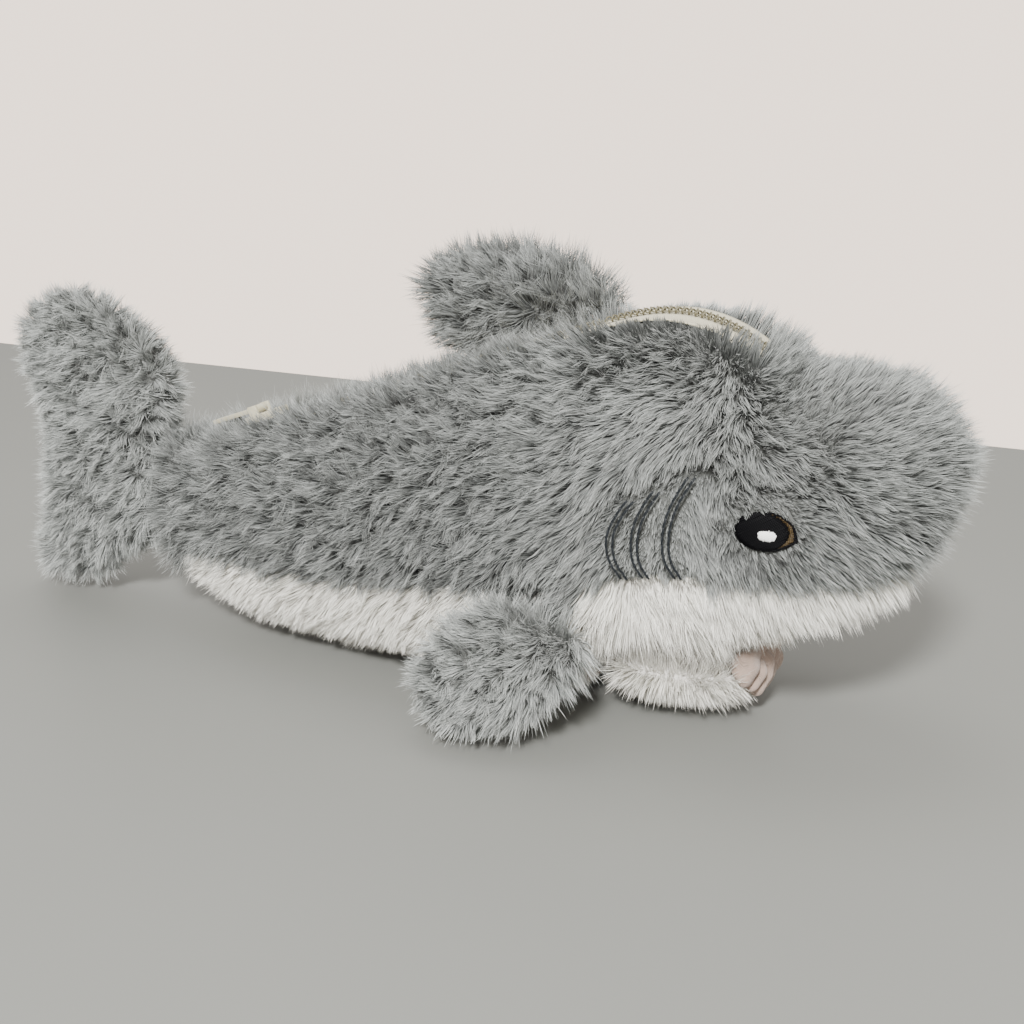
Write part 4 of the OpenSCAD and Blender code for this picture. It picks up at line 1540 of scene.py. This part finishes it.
@dataclass
class Fin:
    """A stuffed fin, lobe or jaw with its pile."""

    shark: Shark
    name: str
    nodes: tuple[str, ...]
    body: str
    root: tuple[float, float, float]
    pile: Pile
    coats: int
    most: int
    seed: int
    sink: float = 2.3 * MM
    flow: tuple[float, float, float] = (0, 0, 0)
    spread: tuple[float, float, float] = (1, 1, 1)
    white: bool = False
    guard: Guard | None = None
    # By default a fin takes the grey pile drawn lighter as painted light.
    fur: PileFinish = FIN_PILE_PAINTED_LIGHT
    lift: float = 0.0

    def comb(self, p: Points, n: Points) -> Points:
        """Pile runs away from the root, with an extra pull along the flow."""
        out = unit((p - np.array(self.root) * MM) * np.array(self.spread))
        return out + np.array(self.flow)

    def build(self) -> None:
        """Makes the skin and its coats."""
        skin = PillowSkin(f"{self.name}_backing", self.nodes, sink=self.sink).build()
        places = vertex_array(skin.data)
        aside = ease(4 * MM, 11 * MM, np.abs(places[:, 1]))
        places[:, 2] += self.lift * aside * ease(13 * MM, 3 * MM, places[:, 2])
        set_vertices(skin.data, places)
        backing, fur = (WHITE_BACKING, WHITE_PILE) if self.white else (GREY_BACKING, self.fur)
        slot = Slot.WHITE_FUR if self.white else Slot.GREY_FUR
        self.shark.finish(skin, self.body, slot, backing, self.nodes, fill=0.7)
        for i in range(self.coats):
            sign = 1 if i else -1

            def keep(p: Points, sign: int = sign) -> np.ndarray:
                """The half of the skin that this coat covers."""
                return p[:, 1] * sign > 0 if self.coats == 2 else np.ones(len(p), bool)

            coat = FurCoat(
                f"{self.name}_pile" + (f"_{'left' if i else 'right'}" if self.coats == 2 else ""),
                skin, keep, self.comb, self.pile, self.seed + 10 * i, self.guard, self.most,
            )
            self.shark.finish(coat.build(self.shark.paint(fur)), self.body, slot)


@dataclass
class Body:
    """The pouch's skin and pile."""

    shark: Shark
    split: float = 24 * MM
    grey: Pile = field(default_factory=Pile)
    white: Pile = field(
        default_factory=lambda: Pile(4.5 * MM, lean=30, tuft=1.0 * MM, gather=0.5, swirl=16, ruffle=0.3)
    )
    chin: Pile = field(
        default_factory=lambda: Pile(
            6.0 * MM, lean=34, combed=6, tuft=1.0 * MM, gather=0.6, swirl=16, ruffle=0.4
        )
    )

    def comb(self, p: Points, n: Points) -> Points:
        """Nap of the body: back and down along the flanks, forwards around the snout."""
        x, y, z = p.T
        ahead = ease(38 * MM, 92 * MM, x)[:, None]
        back = np.stack([-np.ones(len(p)), 0.55 * np.sign(y) * ease(0.3, 0.9, n[:, 2]), -0.55 + 0 * x], 1)
        rise = (z - 54 * MM) / (34 * MM)
        front = np.stack([0.9 + 0 * x, 0.25 * np.sign(y), rise], 1)
        down = np.stack([0 * x, 0.8 * np.sign(y), -1 + 0 * x], 1)
        way = unit(back) * (1 - ahead) + unit(front) * ahead + down * 3.4 * ahead * (1 - ahead)
        shown = band(x, (36, 46), (73, 64))
        edge = ease(0, 1, ((15 + 8 * shown) * MM - np.abs(y)) / (8 * MM))
        edge = edge * (n[:, 2] > 0.1) * (x < 80 * MM) * (z > 38 * MM)
        aside = np.stack([0 * x, np.sign(y) * shown, 0.2 + 0 * x], 1)
        return way * (1 - 0.8 * edge)[:, None] + aside * (0.75 * edge)[:, None]

    def comb_white(self, p: Points, n: Points) -> Points:
        """Nap of the belly and the snout's underside: downwards."""
        x, y, _ = p.T
        ahead = ease(44 * MM, 60 * MM, x)
        return np.stack([-0.9 + 1.5 * ahead, 0.3 * np.sign(y), -0.9 + 0 * x], 1)

    def eye_reach(self, x: Points, z: Points) -> np.ndarray:
        """Distance from the eye's middle, 1 at its rim."""
        cx, cz, rx, rz = Eye(self.shark, Side.RIGHT).centre("rim")
        return np.hypot((x - cx) / rx, (z - cz) / rz)

    def depth(self, p: Points, n: Points) -> np.ndarray:
        """How far the cloth lies under the panels' outside, less where stitching holds the pile flat."""
        x, y, z = p.T
        depth = np.full(len(p), 3.0 * MM)
        r = self.eye_reach(x, z)
        aside = np.abs(n[:, 1]) > 0.3
        depth = np.where(aside, np.minimum(depth, (0.2 + 2.8 * ease(1.0, 2.6, r)) * MM), depth)
        for _, points in GILLS:
            gap = stitch_gap(x, z, points, 0.65 * MM, 1.5 * MM)
            near = (1.5 + 1.5 * ease(1.5 * MM, 4.5 * MM, gap)) * MM
            depth = np.where(aside, np.minimum(depth, near), depth)
        over = (n[:, 2] > 0.2) & (x < 80 * MM) & (x > -54 * MM) & (z > 40 * MM)
        near = (0.3 + 2.7 * ease(11 * MM, 20 * MM, np.abs(y))) * MM
        depth = np.where(over, np.minimum(depth, near), depth)
        depth = depth + 0.8 * MM * np.exp(-(((z - SEAM(x)) / (2.0 * MM)) ** 2)) * aside
        depth = np.where(x < -69 * MM, 1.2 * MM, depth)
        roof = (x > 44 * MM) & (x < 84 * MM) & (n[:, 2] < -0.4) & (z < 27 * MM)
        return np.where(roof, 0.8 * MM, depth)

    def clear(self, p: Points, n: Points) -> np.ndarray:
        """Share of full length at each root: short near the stitching, the zip and the floor."""
        x, y, z = p.T
        share = np.ones(len(p))
        r = self.eye_reach(x, z)
        aside = np.abs(n[:, 1]) > 0.3
        near = ease(1.0, 2.6, r)
        share = np.where(aside, np.minimum(share, np.where(r < 1.02, 0, 0.30 + 0.70 * near)), share)
        for _, points in GILLS:
            for row in (0.0, Gills.row_gap):
                gap = stitch_gap(x, z, points, row, 0.7 * MM)
                ahead = ease(0.8 * MM, 4.6 * MM, gap)
                share = np.where(aside, np.minimum(share, 0.16 + 0.84 * ahead), share)
        over = (n[:, 2] > 0.2) & (x < 80 * MM) & (x > -54 * MM) & (z > 38 * MM)
        shown = ease(38 * MM, 48 * MM, x)
        low = 0.95 + 0.3 * ease(-24 * MM, -32 * MM, x) - 0.6 * shown * ease(70 * MM, 61 * MM, x)
        share = np.where(over, share * (low + (1 - low) * ease(7.6 * MM, 15 * MM, np.abs(y))), share)
        crown = band(x, (78, 84), (104, 90)) * ease(0.2, 0.7, n[:, 2])
        share = share * (1 - 0.42 * crown)
        share = share * (1 - 0.35 * ease(14 * MM, 5 * MM, z) * ease(50 * MM, 40 * MM, x))
        share = np.where(z < 3.2 * MM, share * 0.6, share)
        share = np.where(z < 30 * MM, share * (1 - 0.3 * ease(70 * MM, 80 * MM, x)), share)
        fin_root = band(x, (24, 30), (43, 38)) * ease(15 * MM, 19 * MM, np.abs(y))
        share = np.where(z < 34 * MM, share * (1 - 0.6 * fin_root), share)
        cheek = band(x, (40, 46), (76, 70)) * (z < 27 * MM) * aside
        return share * (1 + 0.35 * ease(-62 * MM, -70 * MM, x)) * (1 + 0.35 * cheek)

    def build(self) -> None:
        """Makes the skin and its coats."""
        skin = BodySkin(self.depth).build()
        for finish in (GREY_BACKING, WHITE_BACKING):
            skin.data.materials.append(self.shark.paint(finish))
        for face in skin.data.polygons:
            face.material_index = int(face.center.z < SEAM(face.center.x))
        self.shark.finish(
            skin, "pouch", Slot.GREY_FUR, None,
            ("flank_right", "flank_left", "belly_panel", "snout_panel", "head_stuffing", "rear_stuffing"),
            fill=0.5,
        )
        rag = Ripple(6 * MM, 77)

        def border(p: Points) -> Points:
            """Height over the seam, with a slightly ragged line."""
            fin_root = band(p[:, 0], (24, 32), (47, 41))
            return p[:, 2] - SEAM(p[:, 0]) - (1.8 - 8 * fin_root) * MM + 0.4 * MM * rag(p)

        def only(grey: bool) -> Guard:
            """A guard that also drops roots of the other colour."""

            def guard(p: Points, n: Points) -> np.ndarray:
                """Share of length, 0 beyond the seam."""
                return np.where((border(p) > 0) == grey, self.clear(p, n), 0)

            return guard

        seed = 100
        for side in Side:
            for part, low, high in (("rear", -1.0, self.split), ("front", self.split, 1.0)):
                seed += 20

                def keep(p: Points, side: Side = side, low: float = low, high: float = high) -> np.ndarray:
                    """Triangles of this quarter, above the seam or next to it."""
                    here = (p[:, 1] * side.value > 0) & (p[:, 0] > low) & (p[:, 0] <= high)
                    return here & (border(p) > -2 * MM)

                coat = FurCoat(
                    f"flank_{side.label}_{part}_pile", skin, keep, self.comb, self.grey, seed,
                    only(True), 64000,
                )
                self.shark.finish(coat.build(self.shark.paint(GREY_PILE)), "pouch", Slot.GREY_FUR)
        for name, low, high, most in (("belly", -1.0, 46 * MM, 50000), ("snout", 46 * MM, 1.0, 44000)):
            seed += 20

            def keep_white(p: Points, low: float = low, high: float = high) -> np.ndarray:
                """Triangles of this stretch, below the seam or next to it."""
                return (p[:, 0] > low) & (p[:, 0] <= high) & (border(p) < 2 * MM)

            coat = FurCoat(
                f"{name}_pile", skin, keep_white, self.comb_white,
                self.white if name == "belly" else self.chin, seed, only(False), most,
            )
            self.shark.finish(coat.build(self.shark.paint(WHITE_PILE)), "pouch", Slot.WHITE_FUR)


# ---------------------------------------------------------------- studio


@dataclass(frozen=True)
class Lamp:
    """One soft light, aimed at the object."""

    name: str
    at: tuple[float, float, float]
    size: float
    power: float
    colour: Colour


@dataclass
class Studio:
    """Table, backdrop light and camera."""

    target: Vector = field(default_factory=lambda: Vector((19.42, 0, 37.29)) * MM)
    distance: float = 322.24 * MM
    azimuth: float = 23.74
    elevation: float = 18.0
    lens: float = 50.0
    glow: tuple[Colour, float] = ((0.83, 0.79, 0.74), 1.42)
    backdrop: tuple[Colour, float] = ((0.93, 0.78, 0.66), 2.62)
    lamps: tuple[Lamp, ...] = (
        Lamp("key", (0.21, -0.74, 0.68), 0.15, 27.0, (1.0, 0.985, 0.955)),
        Lamp("top", (-0.15, 0.25, 1.15), 0.7, 6.0, (1.0, 0.985, 0.965)),
    )

    def build(self) -> None:
        """Makes the table, the lights and the camera."""
        self.camera()
        self.table()
        world = bpy.context.scene.world or bpy.data.worlds.new("studio")
        bpy.context.scene.world = world
        world.use_nodes = True
        nodes, links = world.node_tree.nodes, world.node_tree.links
        nodes.clear()
        blend, sink = nodes.new("ShaderNodeMixShader"), nodes.new("ShaderNodeOutputWorld")
        seen = nodes.new("ShaderNodeLightPath")
        links.new(seen.outputs["Is Camera Ray"], blend.inputs[0])
        for socket, (colour, strength) in enumerate((self.glow, self.backdrop), start=1):
            light = nodes.new("ShaderNodeBackground")
            light.inputs["Color"].default_value = (*colour, 1)
            light.inputs["Strength"].default_value = strength
            links.new(light.outputs[0], blend.inputs[socket])
        links.new(blend.outputs[0], sink.inputs["Surface"])
        for lamp in self.lamps:
            light = bpy.data.lights.new(lamp.name, "AREA")
            light.shape = "DISK"
            light.size = lamp.size
            light.energy = lamp.power
            light.color = lamp.colour
            rig = bpy.data.objects.new(lamp.name, light)
            rig.location = lamp.at
            rig.rotation_euler = (self.target - rig.location).to_track_quat("-Z", "Y").to_euler()
            bpy.context.scene.collection.objects.link(rig)

    def camera(self) -> None:
        """Makes the camera."""
        lens = bpy.data.cameras.new("camera")
        lens.lens = self.lens
        lens.sensor_width = 36
        lens.clip_start = 0.01
        rig = bpy.data.objects.new("camera", lens)
        a, e = math.radians(self.azimuth), math.radians(self.elevation)
        away = Vector((math.sin(a) * math.cos(e), -math.cos(a) * math.cos(e), math.sin(e)))
        rig.location = self.target + away * self.distance
        rig.rotation_euler = (-away).to_track_quat("-Z", "Y").to_euler()
        bpy.context.scene.collection.objects.link(rig)
        bpy.context.scene.camera = rig

    def table(self) -> None:
        """A light grey table top with its far edge behind the object."""
        bm = bmesh.new()
        corners = [(-1.6, 0.2615), (1.6, 0.2320), (1.6, -1.2), (-1.6, -1.2)]
        bm.faces.new([bm.verts.new((x, y, 0)) for x, y in corners][::-1])
        bmesh.ops.recalc_face_normals(bm, faces=bm.faces)
        table = new_object("table_top", bm, smooth=False)
        paint = Finish("table_laminate", 0.5, 0.35)
        paint.speckle(9, 2, (0.155, 0.160, 0.150), (0.168, 0.172, 0.163))
        table.data.materials.append(paint.material)


def jaw_front_clear(p: Points, n: Points) -> np.ndarray:
    """Share of the jaw's pile: none on the lined front, and short around it."""
    front = (p[:, 0] > 76 * MM) & (n[:, 0] > 0.25) & (p[:, 2] > 4 * MM)
    share = 1 - 0.4 * ease(74 * MM, 79 * MM, p[:, 0])
    share = share * (1 - 0.5 * ease(10 * MM, 5 * MM, p[:, 2]))
    top = (n[:, 2] > 0.6) & (p[:, 2] > 12 * MM) & (np.abs(p[:, 1]) < 9 * MM)
    return np.where(front, 0, np.where(top, 0.25, share))


def fin_seam(p: Points, n: Points) -> np.ndarray:
    """Share of a side fin's pile: short along the stitched arc by its tip and where it meets the floor."""
    root = np.stack([43 + 0 * p[:, 0], 28 * np.sign(p[:, 1]), 27.5 + 0 * p[:, 0]], 1) * MM
    reach = np.linalg.norm(p - root, axis=1)
    arc = np.exp(-(((reach - 27 * MM) / (0.9 * MM)) ** 2)) * (n[:, 2] > 0)
    full = 1 + 0.3 * ease(17 * MM, 8 * MM, reach) - 0.2 * ease(24 * MM, 33 * MM, reach)
    return (1 - 0.6 * arc) * full * (1 - 0.4 * (n[:, 2] < -0.5))


def main() -> None:
    """Builds the shark on its frame, and the studio around it."""
    logging.basicConfig(level=logging.INFO, format="%(name)s: %(message)s")
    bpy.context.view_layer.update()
    Studio().build()
    shark = Shark()
    Body(shark).build()
    fin_pile = Pile(5.0 * MM, per_mm2=14.0, lean=3, droop=5, tuft=1.1 * MM, gather=0.45)
    Fin(
        shark, "tail", ("tail_panel_right", "tail_panel_left", "tail_stuffing"), "tail",
        (-66, 0, 36), fin_pile, 2, 36000, 400, sink=1.8 * MM,
    ).build()
    for side in Side:
        s, tag = side.value, side.label
        Fin(
            shark, f"side_fin_{tag}",
            (f"side_fin_{tag}_top", f"side_fin_{tag}_bottom", f"side_fin_{tag}_stuffing"),
            f"side_fin_{tag}", (44, s * 22, 36), fin_pile, 1, 40000, 500 + s * 40,
            sink=1.2 * MM, guard=fin_seam,
        ).build()
    Fin(
        shark, "dorsal_fin", ("dorsal_panel_right", "dorsal_panel_left", "dorsal_stuffing"),
        "dorsal_fin", (34, 12, 70), Pile(length=6.2 * MM, lean=12), 1, 36000, 600,
        sink=0.0, fur=GREY_PILE,
    ).build()
    Fin(
        shark, "jaw", ("jaw_panel", "jaw_stuffing"), "jaw", (60, 0, 9),
        Pile(5.6 * MM, lean=26, combed=4, tuft=1.0 * MM, gather=0.6, swirl=14, ruffle=0.4), 1, 38000, 700,
        sink=1.0 * MM, flow=(0.25, 0, 0), spread=(0.1, 0.1, 1), white=True, guard=jaw_front_clear,
        lift=3.2 * MM,
    ).build()
    for side in Side:
        Eye(shark, side).build()
        Gills(shark, side).build()
    Zip(shark).build()
    Lining(shark).build()


if __name__ == "__main__":
    main()
